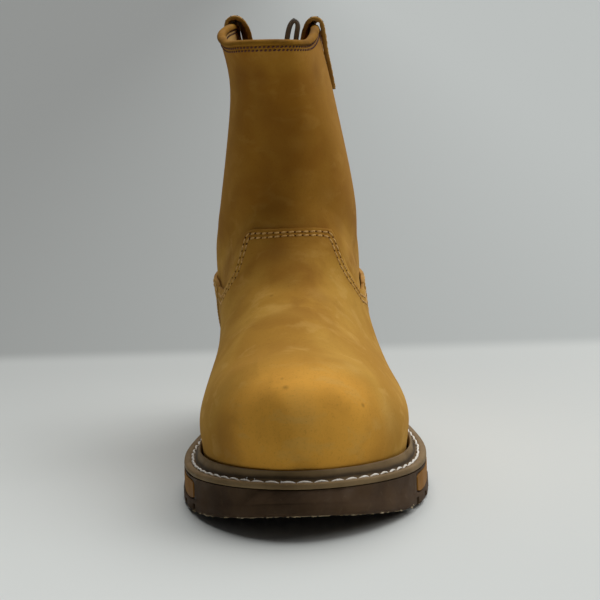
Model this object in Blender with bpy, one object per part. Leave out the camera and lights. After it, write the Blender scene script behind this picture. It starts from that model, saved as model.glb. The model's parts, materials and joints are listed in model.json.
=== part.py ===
"""Left pull-on wellington work boot: unit sole, storm welt, hollow lasted upper, overlays and straps.

The toe points along -Y, the lateral side along +X, and the floor is Z = 0.  Sizes are in
millimetres; every mesh is scaled to metres when it is made.
"""
import math
from collections import namedtuple
from functools import lru_cache

import bmesh
import bpy
import numpy as np
from mathutils import Vector
from mathutils.bvhtree import BVHTree

MM = 0.001

# Driving sizes
SOLE_LENGTH = 312.0
HALF_LENGTH = SOLE_LENGTH / 2
GAP = 0.3
OVERLAY_GAP = 0.6
WALL = 2.6
VAMP_THICK = 1.6
COUNTER_THICK = 2.1
WELT_SHOW_TOE = 10.8
WELT_SHOW_HEEL = 7.2
OVERLAY = OVERLAY_GAP + VAMP_THICK
TOE_POINT = -HALF_LENGTH + WELT_SHOW_TOE + OVERLAY - 0.01
HEEL_POINT = HALF_LENGTH - WELT_SHOW_HEEL - OVERLAY + 0.01
ANKLE_LEAN = -2.3
ANKLE_BOW = -1.8
SHAFT_LEAN = -4.6
COLLAR_LEAN = -4.9
COLLAR_TURN = 0.11
TAPER_MEDIAL = 0.32
TAPER_LATERAL = 0.0
MEDIAL_FLARE = -2.9

# Sole
TOE_SPRING = 12.8
SPRING_START = -78.0
HEEL_BEVEL_START = 146.0
STEP_HEIGHT = 5.6
CHANNEL_DEPTH = 4.5
CHANNEL_WIDTH = 5.0
PANEL_FRONT = -100.0
PANEL_REAR = -8.0
PANEL_DEPTH = 2.2
INSOLE_THICK = 4.0

# Collar and straps
STRAP_WIDTH = 26.0
STRAP_THICK = 2.0
TAPE_WIDTH = 9.0
TAPE_THICK = 2.2

# Overlay edges
PANEL_MIDDLE_X = -4.6
DIP_Z = 87.5

OutlineRow = namedtuple("OutlineRow", "y medial lateral")
OUTLINE = (
    OutlineRow(156.0, 1.0, -1.0),
    OutlineRow(148.5, 25.5, 23.0),
    OutlineRow(129.0, 40.2, 37.8),
    OutlineRow(105.0, 43.2, 40.8),
    OutlineRow(73.0, 42.8, 41.8),
    OutlineRow(34.0, 44.0, 46.4),
    OutlineRow(-8.0, 55.2, 57.8),
    OutlineRow(-36.0, 61.6, 62.6),
    OutlineRow(-58.0, 62.8, 62.6),
    OutlineRow(-90.0, 59.3, 58.1),
    OutlineRow(-120.0, 48.4, 46.2),
    OutlineRow(-145.0, 28.2, 24.6),
    OutlineRow(-156.0, 2.0, -2.0),
)

SeatRow = namedtuple("SeatRow", "y z")
SEAT = (
    SeatRow(-156.0, 24.9),
    SeatRow(-124.0, 21.2),
    SeatRow(-88.0, 17.8),
    SeatRow(-45.0, 16.2),
    SeatRow(0.0, 18.8),
    SeatRow(42.0, 25.4),
    SeatRow(84.0, 31.2),
    SeatRow(122.0, 33.6),
    SeatRow(156.0, 34.4),
)

# Each section runs in a plane from a base point on the feather line, or on the back seam
# of the shaft, to a top point on the instep or the front of the shaft.
Section = namedtuple(
    "Section",
    "base_y base_z top_y top_z widest spread crown_medial crown_lateral split pinch_medial pinch_lateral",
)
HEEL_ROW = 13
COLLAR_ROW = 19
RISE_ROW = 15
SECTIONS = (
    Section(TOE_POINT, 0.0, TOE_POINT, 24.4, 0.60, 0.0, 6.0, 6.0, 0.30, 0.0, 0.0),
    Section(-141.0, 0.0, -145.2, 36.0, 0.60, 3.0, 5.0, 5.0, 0.30, 0.0, 0.0),
    Section(-134.0, 0.0, -146.6, 47.5, 0.62, 4.0, 3.7, 3.8, 0.30, 0.0, 0.0),
    Section(-123.0, 0.0, -142.8, 60.5, 0.55, 3.8, 2.8, 3.0, 0.30, 0.0, 0.0),
    Section(-111.0, 0.0, -131.5, 70.5, 0.46, 3.4, 2.45, 2.6, 0.30, 0.0, 0.0),
    Section(-96.0, 0.0, -112.0, 77.0, 0.39, 3.0, 2.15, 2.2, 0.30, 0.0, 0.0),
    Section(-77.0, 0.0, -88.0, 80.2, 0.36, 2.6, 1.95, 1.85, 0.30, 0.0, 0.02),
    Section(-53.0, 0.0, -62.0, 86.4, 0.34, 2.3, 1.9, 1.65, 0.30, 0.07, 0.09),
    Section(-27.0, 0.0, -38.0, 94.4, 0.33, 2.4, 1.9, 1.6, 0.30, 0.09, 0.15),
    Section(4.0, 0.0, -16.0, 104.0, 0.34, 2.8, 1.95, 1.65, 0.32, 0.05, 0.17),
    Section(42.0, 0.0, 0.0, 115.0, 0.38, 4.8, 2.0, 1.8, 0.34, -0.02, 0.11),
    Section(88.0, 0.0, 10.0, 125.0, 0.42, 6.2, 2.1, 2.0, 0.36, -0.02, 0.01),
    Section(124.0, 0.0, 14.5, 133.0, 0.43, 6.4, 2.1, 2.05, 0.38, -0.02, -0.02),
    Section(HEEL_POINT, 34.5, 17.5, 141.5, 0.44, 7.7, 2.1, 2.1, 0.40, 0.0, 0.0),
    Section(150.4, 58.0, 19.5, 151.5, 0.46, 8.1, 2.2, 2.2, 0.42, 0.0, 0.0),
    Section(149.8, 90.0, 20.5, 163.0, 0.48, 6.0, 2.2, 2.2, 0.44, 0.0, 0.0),
    Section(144.5, 122.0, 20.5, 175.5, 0.49, 2.5, 2.3, 2.3, 0.45, 0.0, 0.0),
    Section(142.5, 154.0, 19.5, 190.0, 0.50, -1.6, 2.3, 2.3, 0.45, 0.0, 0.0),
    Section(147.0, 185.0, 17.5, 206.0, 0.50, -5.4, 2.3, 2.3, 0.45, 0.0, 0.0),
    Section(153.0, 214.0, 15.0, 224.5, 0.50, -6.4, 2.3, 2.3, 0.45, 0.0, 0.0),
)

UPPER_ROWS = (
    0.0, 0.3, 0.65, 1.0, 1.5, 2.0, 2.5, 3.0, 3.5, 4.0, 5.0, 6.0, 7.0, 8.0, 8.5, 9.0, 9.5, 10.0, 10.5,
    11.0, 11.5, 12.0, 12.4, 12.7, 12.9, 13.0, 13.4, 14.0, 14.5, 15.0, 16.0, 17.0, 18.0, 19.0,
)
HALF_COLUMNS = (
    0.06, 0.12, 0.18, 0.22, 0.25, 0.28, 0.31, 0.34, 0.38, 0.42, 0.47, 0.53, 0.60, 0.68, 0.76, 0.84, 0.92, 1.0,
)
UPPER_COLUMNS = tuple(-c for c in reversed(HALF_COLUMNS)) + (0.0,) + HALF_COLUMNS

# Edge of the vamp's front panel: distance from the panel's middle, height
PanelRow = namedtuple("PanelRow", "half z")
PANEL_SIDE = (
    PanelRow(0.0, 125.5),
    PanelRow(17.0, 125.2),
    PanelRow(20.5, 124.3),
    PanelRow(22.5, 122.6),
    PanelRow(23.6, 120.5),
    PanelRow(24.4, 117.5),
    PanelRow(25.4, 114.0),
    PanelRow(26.6, 110.0),
    PanelRow(28.3, 105.5),
    PanelRow(30.3, 100.5),
    PanelRow(32.3, 96.5),
    PanelRow(34.2, 92.5),
    PanelRow(36.5, 88.5),
    PanelRow(46.0, 78.0),
)

# Rear edge of the overlays, from the dip beside the ankle up to the back seam
RearRow = namedtuple("RearRow", "y z")
REAR_EDGE = (
    RearRow(-200.0, DIP_Z),
    RearRow(14.0, DIP_Z),
    RearRow(45.0, 89.5),
    RearRow(62.0, 91.0),
    RearRow(85.0, 89.5),
    RearRow(112.0, 90.0),
    RearRow(135.0, 97.0),
    RearRow(160.0, 106.0),
)
SEAM_TOP_Y = 56.0
SEAM_FOOT_Y = 40.0

# Welt profile: share of the way from the sole's edge to the upper, height above the seat
WeltRow = namedtuple("WeltRow", "share height")
WELT_OUTER = (
    WeltRow(0.07, 0.3),
    WeltRow(0.06, 2.6),
    WeltRow(0.16, 3.5),
    WeltRow(0.40, 3.6),
    WeltRow(0.48, 2.7),
    WeltRow(0.57, 2.9),
    WeltRow(0.70, 4.8),
)
BEAD_HEIGHT = 9.0
BEAD_DROP = 2.4
WELT_STATIONS = 30

# Rolled collar, across the wall and along it, from the middle of the wall's top edge
RollRow = namedtuple("RollRow", "across along")
ROLL = (
    RollRow(1.8, -2.0),
    RollRow(2.35, -1.5),
    RollRow(2.6, 0.0),
    RollRow(2.2, 1.6),
    RollRow(0.9, 2.4),
    RollRow(-0.9, 2.4),
    RollRow(-2.2, 1.6),
    RollRow(-2.6, 0.0),
    RollRow(-2.35, -1.5),
    RollRow(-1.8, -2.0),
    RollRow(-1.8, 0.4),
    RollRow(1.8, 0.4),
)

# Ears of the collar: height, place of the peak, reach towards the front and towards the back seam
Ear = namedtuple("Ear", "rise peak front rear")
MEDIAL_EAR = Ear(12.8, 100.0, 70.0, 50.0)
LATERAL_EAR = Ear(10.9, 88.0, 62.0, 62.0)

# The two pull straps: which side, place along the collar, slack of the loop inside, room beside the wall
Strap = namedtuple("Strap", "word side middle slack room")
STRAPS = (
    Strap("medial", -1, 104.0, 0.9, 0.9),
    Strap("lateral", 1, 88.0, 0.7, 0.15),
)

# Strap path, outward and upward from the middle of the collar's edge
StrapRow = namedtuple("StrapRow", "out up")
STRAP_LOOP = (
    StrapRow(4.3, -0.5),
    StrapRow(4.0, 2.4),
    StrapRow(2.4, 4.6),
    StrapRow(-0.4, 5.4),
    StrapRow(-3.8, 4.8),
    StrapRow(-7.4, 2.0),
    StrapRow(-10.2, -3.4),
    StrapRow(-11.4, -10.0),
    StrapRow(-11.0, -18.0),
    StrapRow(-9.0, -26.0),
    StrapRow(-6.4, -32.0),
)
STRAP_OUTER_LENGTH = 34.0
STRAP_INNER_LENGTH = 44.0
TAPE_LOOP = (
    StrapRow(-10.7, -19.0),
    StrapRow(-10.9, -12.0),
    StrapRow(-10.6, -7.0),
    StrapRow(-9.8, -2.4),
    StrapRow(-9.1, 1.0),
    StrapRow(-9.6, 3.0),
    StrapRow(-11.3, 4.0),
    StrapRow(-13.3, 2.6),
    StrapRow(-15.1, -3.0),
    StrapRow(-16.3, -12.0),
    StrapRow(-16.5, -24.0),
)


def smooth_curve(knots, values, at):
    """Read a smooth curve through rows of values at one place along its knots."""
    spot = min(max(at, knots[0]), knots[-1])
    i = min(max(int(np.searchsorted(knots, spot, side="right")) - 1, 0), len(knots) - 2)
    steps = np.diff(knots)
    chords = np.diff(values, axis=0) / steps[:, None]

    def slope(k):
        if k == 0:
            return chords[0]
        if k == len(knots) - 1:
            return chords[-1]
        before = steps[k - 1]
        after = steps[k]
        return (chords[k - 1] * after + chords[k] * before) / (before + after)

    t = (spot - knots[i]) / steps[i]
    start = values[i] * (2 * t**3 - 3 * t**2 + 1) + slope(i) * steps[i] * (t**3 - 2 * t**2 + t)
    end = values[i + 1] * (3 * t**2 - 2 * t**3) + slope(i + 1) * steps[i] * (t**3 - t**2)
    return start + end


def ease(t):
    """Rise smoothly from 0 to 1."""
    t = min(max(t, 0.0), 1.0)
    return t * t * (3 - 2 * t)


def table_height(rows, y):
    """Read the height column of a table of y and z."""
    knots = np.array([row.y for row in rows])
    values = np.array([[row.z] for row in rows])
    return float(smooth_curve(knots, values, y)[0])


def seat(y):
    """Height of the sole's top face."""
    return table_height(SEAT, y)


def tread(y):
    """Height of the sole's underside before the arch and the channels are cut."""
    if y < SPRING_START:
        return TOE_SPRING * ((SPRING_START - y) / (HALF_LENGTH + SPRING_START)) ** 1.7
    if y > HEEL_BEVEL_START:
        return 2.0 * ((y - HEEL_BEVEL_START) / (HALF_LENGTH - HEEL_BEVEL_START)) ** 2
    return 0.0


@lru_cache(maxsize=None)
def outline():
    """Points and outward normals around the sole's edge: heel, lateral side, toe, medial side."""
    points = [(row.lateral, row.y) for row in OUTLINE]
    points += [(-row.medial, row.y) for row in reversed(OUTLINE[1:-1])]
    ring = np.array(points[-3:] + points + points[:4])
    knots = np.concatenate([[0.0], np.cumsum(np.sqrt(np.linalg.norm(np.diff(ring, axis=0), axis=1)))])
    span = np.linspace(knots[3], knots[3 + len(points)], 1441)[:-1]
    curve = np.array([smooth_curve(knots, ring, s) for s in span])
    ahead = np.roll(curve, -1, axis=0) - np.roll(curve, 1, axis=0)
    ahead /= np.linalg.norm(ahead, axis=1)[:, None]
    normal = np.stack([-ahead[:, 1], ahead[:, 0]], axis=1)
    return curve, normal


def show(y):
    """Width of the welt seen beside the upper."""
    return WELT_SHOW_TOE + (WELT_SHOW_HEEL - WELT_SHOW_TOE) * ease((y + 10.0) / 90.0)


@lru_cache(maxsize=None)
def inset_sides(inset, with_welt):
    """Medial and lateral edges, each as rising y and x, at an inset from the sole's edge."""
    curve, normal = outline()
    depth = np.full(len(curve), inset)
    if with_welt:
        depth = depth + np.array([show(y) + OVERLAY for y in curve[:, 1]])
    moved = curve - normal * depth[:, None]
    toe = int(np.argmin(moved[:, 1]))
    heel = int(np.argmax(np.roll(moved[:, 1], 360))) - 360
    order = np.arange(heel, toe + 1)
    lateral = moved[order]
    medial = moved[np.arange(toe, heel + len(curve) + 1) % len(curve)]
    return (medial[:, 1], medial[:, 0]), (lateral[::-1, 1], lateral[::-1, 0])


def edge_x(side, y, inset, with_welt=True):
    """X of the edge on one side (-1 medial, 1 lateral) at y; insets count inward from the feather line."""
    sides = inset_sides(round(inset, 2), with_welt)
    ys, xs = sides[0] if side < 0 else sides[1]
    return float(np.interp(y, ys, xs))


@lru_cache(maxsize=None)
def section(row):
    """Section sizes at a place between the rows of the table."""
    knots = np.arange(len(SECTIONS), dtype=float)
    sizes = Section(*smooth_curve(knots, np.array(SECTIONS), row))
    if row <= HEEL_ROW:
        sizes = sizes._replace(base_z=seat(sizes.base_y) + GAP)
    return sizes


def lean(y, z):
    """Sideways lean of the slack shaft and the ankle at a place."""
    slack = SHAFT_LEAN * max(0.0, (z - 40.0) / 190.0) ** 1.5
    bow = ANKLE_BOW * ease((y - 10.0) / 40.0) * ease((z - 42.0) / 25.0) * ease((145.0 - z) / 30.0)
    return slack + bow + ANKLE_LEAN * ease((z - 45.0) / 40.0) + COLLAR_LEAN * ease((z - 200.0) / 35.0)


def ear_rise(side, y):
    """Height of the collar's ear on one side at y."""
    ear = LATERAL_EAR if side > 0 else MEDIAL_EAR
    reach = ear.front if y < ear.peak else ear.rear
    return ear.rise * ease(1 - abs(y - ear.peak) / reach)


def form(row, column):
    """Point on the upper's outer face; column runs from -1 at the medial base to 1 at the lateral base."""
    sec = section(round(row, 4))
    side = -1 if column < 0 else 1
    reach = 1.0 - abs(column)
    lift = 0.0
    if reach <= sec.split:
        low = reach / sec.split
        closed = ease((row - HEEL_ROW + 2.0) / 2.0)
        share = (1 - closed) * low + closed * (1 - math.cos(low * math.pi / 2))
        along = sec.widest * share
        y = sec.base_y + (sec.top_y - sec.base_y) * along
        y_edge = y
        if row > HEEL_ROW:
            y_edge = y + (SECTIONS[HEEL_ROW].base_y - sec.base_y) * (1 - share)
        x = edge_x(side, y_edge, -sec.spread * ease(share))
        lift = share
    else:
        angle = (reach - sec.split) / (1 - sec.split) * math.pi / 2
        power = 2.0 / (sec.crown_lateral if side > 0 else sec.crown_medial)
        along = sec.widest + (1 - sec.widest) * math.sin(angle) ** power
        y = sec.base_y + (sec.top_y - sec.base_y) * along
        medial = edge_x(-1, y, -sec.spread)
        lateral = edge_x(1, y, -sec.spread)
        middle = (medial + lateral) / 2
        pinch = sec.pinch_lateral if side > 0 else sec.pinch_medial
        fold = max(math.cos(angle), 0.0) ** power * (1 - pinch * math.sin(2 * angle))
        x = middle + ((lateral if side > 0 else medial) - middle) * fold
        lift = fold
    rise = ear_rise(side, y) * ease((row - RISE_ROW) / (COLLAR_ROW - RISE_ROW))
    z = sec.base_z + (sec.top_z - sec.base_z) * along + rise
    taper = TAPER_LATERAL if side > 0 else TAPER_MEDIAL
    turn = (COLLAR_TURN if y < 70.0 else taper) * (y - 70.0) * lift * ease((z - 110.0) / 110.0)
    flare = 0.0
    if side < 0:
        flare = MEDIAL_FLARE * lift * ease((z - 196.0) / 32.0) * ease((104.0 - y) / 34.0)
    return Vector((x + lean(y, z) + turn + flare, y, z))


def normal_at(row, column):
    """Outward normal of the upper's outer face."""
    row = max(row, 0.08)
    step = 0.02
    left = form(row, max(column - step, -1.0))
    right = form(row, min(column + step, 1.0))
    back = form(max(row - step, 0.0), column)
    ahead = form(min(row + step, COLLAR_ROW), column)
    return (right - left).cross(ahead - back).normalized()


def material(name, colour, roughness):
    """Plain surface of one colour."""
    made = bpy.data.materials.new(name)
    made.use_nodes = True
    shader = made.node_tree.nodes["Principled BSDF"]
    shader.inputs["Base Color"].default_value = (*colour, 1.0)
    shader.inputs["Roughness"].default_value = roughness
    shader.inputs["Metallic"].default_value = 0.0
    return made


def make_object(name, points, faces, surface, sharp=40.0):
    """Turn millimetre points and faces into a smooth-shaded object in metres."""
    mesh = bpy.data.meshes.new(name)
    mesh.from_pydata([tuple(Vector(p) * MM) for p in points], [], faces)
    work = bmesh.new()
    work.from_mesh(mesh)
    bmesh.ops.recalc_face_normals(work, faces=work.faces)
    work.to_mesh(mesh)
    work.free()
    mesh.shade_smooth()
    mesh.set_sharp_from_angle(angle=math.radians(sharp))
    made = bpy.data.objects.new(name, mesh)
    bpy.context.collection.objects.link(made)
    if surface is not None:
        mesh.materials.append(surface)
    return made


def shell(name, strips, inner_offset, outer_offset, surface):
    """Close two parallel skins into a wall; each strip holds rows of (row, column) places on the form."""
    places = {}
    base = []
    on_feather = []
    faces = []

    def corner(row, column):
        spot = form(row, column)
        key = tuple(round(c, 3) for c in spot)
        if key not in places:
            places[key] = len(base)
            base.append(spot)
            on_feather.append(row <= HEEL_ROW and abs(column) == 1.0)
        return places[key]

    for strip in strips:
        index = [[corner(row, column) for row, column in line] for line in strip]
        for low, high in zip(index, index[1:]):
            for j in range(len(low) - 1):
                for three in ((low[j], low[j + 1], high[j + 1]), (low[j], high[j + 1], high[j])):
                    if len(set(three)) == 3:
                        faces.append(list(three))
    normals = [Vector() for _ in base]
    edges = set()
    for face in faces:
        edges.update(zip(face, face[1:] + face[:1]))
        turn = (base[face[1]] - base[face[0]]).cross(base[face[2]] - base[face[0]])
        for k in face:
            normals[k] += turn
    outer = []
    inner = []
    for spot, outward, level in zip(base, normals, on_feather):
        if level:
            outward.z = 0.0
        outward.normalize()
        for skins, offset in ((outer, outer_offset), (inner, inner_offset)):
            moved = spot + outward * offset
            lowest = seat(moved.y) + GAP
            moved.z = lowest if level else max(moved.z, lowest)
            skins.append(moved)
    count = len(base)
    rim = sorted((a, b) for a, b in edges if (b, a) not in edges)
    walls = [[b, a, a + count, b + count] for a, b in rim]
    backs = [[k + count for k in reversed(face)] for face in faces]
    return make_object(name, outer + inner, faces + backs + walls, surface)


def sweep(name, loops, ring, surface, sharp=40.0):
    """Join loops of points one after another, around a ring or from end to end."""
    size = len(loops[0])
    points = [p for loop in loops for p in loop]
    faces = []
    pairs = [(i, i + 1) for i in range(len(loops) - 1)]
    if ring:
        pairs.append((len(loops) - 1, 0))
    for a, b in pairs:
        for j in range(size):
            k = (j + 1) % size
            faces.append([a * size + j, a * size + k, b * size + k, b * size + j])
    if not ring:
        faces.append(list(range(size)))
        faces.append([(len(loops) - 1) * size + j for j in range(size)])
    return make_object(name, points, faces, surface, sharp)


def edge_at(side, y):
    """Point on the sole's edge and its outward normal, on one side at y."""
    curve, normal = outline()
    toe = int(np.argmin(curve[:, 1]))
    order = np.arange(0, toe + 1) if side > 0 else np.arange(len(curve), toe - 1, -1) % len(curve)
    spot = float(np.interp(-y, -curve[order, 1], np.arange(len(order))))
    k = min(int(spot), len(order) - 2)
    part = spot - k
    place = curve[order[k]] * (1 - part) + curve[order[k + 1]] * part
    out = normal[order[k]] * (1 - part) + normal[order[k + 1]] * part
    return place, out / np.linalg.norm(out)


def edge_stations(count):
    """Ring of places around the sole's edge, matched in y on both sides: heel, lateral, toe, medial."""
    levels = [HALF_LENGTH * math.cos(math.pi * k / count) for k in range(count + 1)]
    lateral = [edge_at(1, y) for y in levels]
    medial = [edge_at(-1, y) for y in levels]
    return lateral + medial[-2:0:-1]


def cross_cap(ring_ids, count):
    """Faces across a closed ring whose two sides are matched station by station."""
    total = len(ring_ids)
    faces = []
    for k in range(count):
        corners = []
        for i in (k, k + 1, (total - k - 1) % total, (total - k) % total):
            if ring_ids[i] not in corners:
                corners.append(ring_ids[i])
        faces.append(corners)
    return faces


def edge_ring(stations, inset, height):
    """Points at an inset from the sole's edge; height gives z from y."""
    ring = []
    for place, out in stations:
        x, y = place - out * inset
        ring.append(Vector((x, y, height(y))))
    return ring


def stacked(name, rings, count, surface, sharp=40.0):
    """Solid from rings stacked one above another, closed across its top and underside."""
    size = len(rings[0])
    points = [p for ring in rings for p in ring]
    faces = []
    for a in range(len(rings) - 1):
        for j in range(size):
            k = (j + 1) % size
            faces.append([a * size + j, a * size + k, (a + 1) * size + k, (a + 1) * size + j])
    faces += cross_cap(list(range(size)), count)
    faces += cross_cap([(len(rings) - 1) * size + j for j in range(size)], count)
    return make_object(name, points, faces, surface, sharp)


def cutter(name, pieces):
    """Hidden cutting shape of one or more separate prisms, each a list of two matching loops."""
    points = []
    faces = []
    for first, last in pieces:
        start = len(points)
        size = len(first)
        points += list(first) + list(last)
        for j in range(size):
            k = (j + 1) % size
            faces.append([start + j, start + k, start + size + k, start + size + j])
        faces.append([start + j for j in range(size)])
        faces.append([start + size + j for j in range(size)])
    made = make_object(name, points, faces, None)
    made.hide_render = True
    made.display_type = "WIRE"
    return made


def cut(target, tool):
    """Take the tool's shape out of the target."""
    step = target.modifiers.new(tool.name, "BOOLEAN")
    step.operation = "DIFFERENCE"
    step.solver = "EXACT"
    step.object = tool


def arch_prism():
    """Space under the waist, in front of the heel's breast."""
    side_view = [(71.0, -2.0), (70.0, 0.0), (67.5, 8.0), (63.5, 12.0), (52.0, 13.8), (36.0, 12.6)]
    side_view += [(20.0, 9.2), (5.0, 5.0), (-8.0, 1.7), (-18.0, 0.0), (-24.0, -2.0)]
    first = [Vector((-90.0, y, z)) for y, z in side_view]
    last = [Vector((90.0, y, z)) for y, z in side_view]
    return first, last


def channel(y, half_x, centre_x, half_y):
    """Box that cuts one tread channel to depth, following the rise of the toe."""
    slope = (tread(y + 2.0) - tread(y - 2.0)) / 4.0
    first = []
    last = []
    for across, up in ((-1, -6.0), (1, -6.0), (1, CHANNEL_DEPTH), (-1, CHANNEL_DEPTH)):
        step = across * half_y
        spot = Vector((0.0, y + step - slope * up, tread(y) + up + slope * step))
        first.append(spot + Vector((centre_x - half_x, 0.0, 0.0)))
        last.append(spot + Vector((centre_x + half_x, 0.0, 0.0)))
    return first, last


def side_panel_loops(side, grow, outer_inset):
    """Cross-sections of a panel let into the side wall, along the sole's edge."""
    length = PANEL_REAR - PANEL_FRONT
    deep = PANEL_DEPTH + 0.6 + grow
    loops = []
    for turn in range(15):
        share = (1 - math.cos(math.pi * turn / 14)) / 2
        y = PANEL_FRONT - grow + (length + 2 * grow) * share
        place, out = edge_at(side, y)
        ends = min(y - PANEL_FRONT + grow, PANEL_REAR + grow - y) + 0.4
        rounding = math.sqrt(1 - max(0.0, 1 - ends / 4.5) ** 2)
        loop = []
        for inset, level in ((deep, -1), (outer_inset, -1), (outer_inset, 1), (deep, 1)):
            x, spot = place - out * inset
            low = tread(spot) + STEP_HEIGHT + 0.9
            high = seat(spot) - 1.6
            half = ((high - low) / 2) * (0.35 + 0.65 * rounding) + grow
            loop.append(Vector((x, spot, (low + high) / 2 + level * half)))
        loops.append(loop)
    return loops


def build_sole(rubber, amber):
    """Outsole with its arch, channels and panel recesses, and the two panels."""
    count = 30
    stations = edge_stations(count)
    rings = [
        edge_ring(stations, 0.9, seat),
        edge_ring(stations, 0.9, lambda y: tread(y) + STEP_HEIGHT + 0.7),
        edge_ring(stations, 0.1, lambda y: tread(y) + STEP_HEIGHT - 0.1),
        edge_ring(stations, 0.0, lambda y: tread(y) + 1.4),
        edge_ring(stations, 1.2, tread),
    ]
    sole = stacked("outsole", rings, count, rubber, sharp=30.0)
    cut(sole, cutter("arch_space", [arch_prism()]))
    half = CHANNEL_WIDTH / 2
    across = [channel(y, 90.0, 0.0, half) for y in (-102.0, -83.0, -64.0, -45.0, -26.0, 90.0, 110.0, 130.0)]
    cut(sole, cutter("cross_channels", across))
    along = [channel(-54.0, half, x, 23.0) for x in (-18.0, 18.0)]
    along += [channel(108.0, half, x, 27.0) for x in (-13.0, 13.0)]
    cut(sole, cutter("long_channels", along))
    for side, word in ((-1, "medial"), (1, "lateral")):
        loops = side_panel_loops(side, GAP + 0.1, -3.0)
        tool = sweep("recess_" + word, loops, False, None)
        tool.hide_render = True
        tool.display_type = "WIRE"
        cut(sole, tool)
        sweep("side_panel_" + word, side_panel_loops(side, 0.0, 0.6), False, amber, sharp=30.0)


def build_insole(board):
    """Footbed on the sole's seat, inside the upper."""
    count = 22
    stations = edge_stations(count)
    rings = []
    for level in (GAP, GAP + INSOLE_THICK):
        ring = []
        for place, out in stations:
            x, y = place - out * (show(place[1]) + OVERLAY + WALL + 1.4)
            ring.append(Vector((x, y, seat(y) + level)))
        rings.append(ring)
    stacked("insole", rings, count, board)


def first_outside(test, column, start, stop, step=0.05):
    """First row along a column, from start, where test turns positive."""
    row = start
    last = test(form(row, column))
    while row < stop:
        ahead = min(row + step, stop)
        value = test(form(ahead, column))
        if value > 0 >= last:
            return row + (ahead - row) * (0 - last) / (value - last)
        last = value
        row = ahead
    return stop


def panel_edge(x):
    """Height of the vamp's front panel edge at a distance from the panel's middle."""
    return float(np.interp(x, [row.half for row in PANEL_SIDE], [row.z for row in PANEL_SIDE]))


def seam_y(z):
    """Where the vamp ends and the counter begins, at a height."""
    return SEAM_FOOT_Y + (SEAM_TOP_Y - SEAM_FOOT_Y) * (z - 25.0) / (DIP_Z - 25.0)


def above_vamp(point):
    """Positive above the vamp's top edge or behind its side seam."""
    x = abs(point.x - PANEL_MIDDLE_X)
    top = max(panel_edge(x), table_height(REAR_EDGE, point.y))
    return max(point.z - top, point.y - seam_y(point.z))


def behind_seam(point):
    """Positive behind the side seam."""
    return point.y - seam_y(point.z) - 0.5


def above_counter(point):
    """Positive above the counter's top edge."""
    return point.z - table_height(REAR_EDGE, point.y)


def clamp_rows(columns, starts, ends):
    """Places on the upper's own rows, held between a start and an end row on each column."""
    rows = []
    for row in UPPER_ROWS:
        rows.append([(min(max(row, s), e), c) for c, s, e in zip(columns, starts, ends)])
    return rows


def build_upper(leather, dark_leather):
    """Hollow upper and the two overlays on it."""
    columns = UPPER_COLUMNS
    rows = [[(row, column) for column in columns] for row in UPPER_ROWS]
    upper = shell("upper", [rows], -WALL, 0.0, leather)

    ends = [first_outside(above_vamp, c, 5.0, 17.0) for c in columns]
    front = clamp_rows(columns, [0.0] * len(columns), ends)
    vamp = shell("vamp", [front], OVERLAY_GAP, OVERLAY, leather)

    seams = {c: first_outside(behind_seam, c, 6.0, 18.0) for c in columns}
    tops = {c: first_outside(above_counter, c, 6.0, 18.0) for c in columns}
    halves = []
    for side in (-1, 1):
        kept = [c for c in columns if c * side > 0 and seams[c] < tops[c] - 0.02]
        halves.append(clamp_rows(kept, [seams[c] for c in kept], [tops[c] for c in kept]))
    counter = shell("counter", halves, OVERLAY_GAP, OVERLAY_GAP + COUNTER_THICK, dark_leather)
    return upper, vamp, counter


def tree_of(*objects):
    """Ray-casting tree over several meshes, in millimetres."""
    points = []
    faces = []
    for made in objects:
        start = len(points)
        points += [v.co / MM for v in made.data.vertices]
        faces += [[start + k for k in p.vertices] for p in made.data.polygons]
    return BVHTree.FromPolygons(points, faces)


def build_welt(rubber, tree):
    """Storm welt: rim, stitch groove and a bead that follows the upper's side."""
    stations = edge_stations(WELT_STATIONS)
    loops = []
    for place, out in stations:
        wide = show(place[1])
        drop = BEAD_HEIGHT - BEAD_DROP * ease((place[1] + 10.0) / 90.0)
        hits = []
        for height in (GAP + 0.2, drop * 0.55, drop):
            x, y = place - out * wide * 0.5
            start = Vector((place[0] + out[0] * 20.0, place[1] + out[1] * 20.0, seat(y) + height))
            hit = tree.ray_cast(start, Vector((-out[0], -out[1], 0.0)))
            free = wide - 0.8
            if hit[0] is not None:
                free = min(free, hit[3] - 20.0 - 0.8)
            hits.append(free)
        top = min(hits)
        rows = [(row.share * top, row.height) for row in WELT_OUTER]
        rows += [(top * 0.9, drop), (top, drop - 0.5), (top, GAP)]
        loop = []
        for inset, height in rows:
            x, y = place - out * inset
            loop.append(Vector((x, y, seat(y) + height)))
        loops.append(loop)
    return sweep("welt", loops, True, rubber, sharp=60.0)


def rim_frames():
    """Middle of the collar's top edge with its outward and upward directions, around the collar."""
    frames = []
    for column in UPPER_COLUMNS[:-1]:
        out = normal_at(COLLAR_ROW, column)
        if abs(column) == 1.0:
            out.x = 0.0
            out.normalize()
        up = form(COLLAR_ROW, column) - form(COLLAR_ROW - 0.1, column)
        up = (up - out * up.dot(out)).normalized()
        frames.append((form(COLLAR_ROW, column) - out * WALL / 2, out, up))
    return frames


def build_binding(leather):
    """Rolled leather edge saddled over the top of the wall."""
    loops = []
    for place, out, up in rim_frames():
        loops.append([place + out * row.across + up * row.along for row in ROLL])
    return sweep("collar_binding", loops, True, leather, sharp=60.0)


def rim_at(side, y):
    """Middle of the collar's edge on one side at y."""
    best = None
    for k in range(401):
        column = side * (0.2 + 0.6 * k / 400)
        spot = form(COLLAR_ROW, column)
        if best is None or abs(spot.y - y) < abs(best.y - y):
            best = spot
    return best - Vector((side * WALL / 2, 0.0, 0.0))


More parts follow.
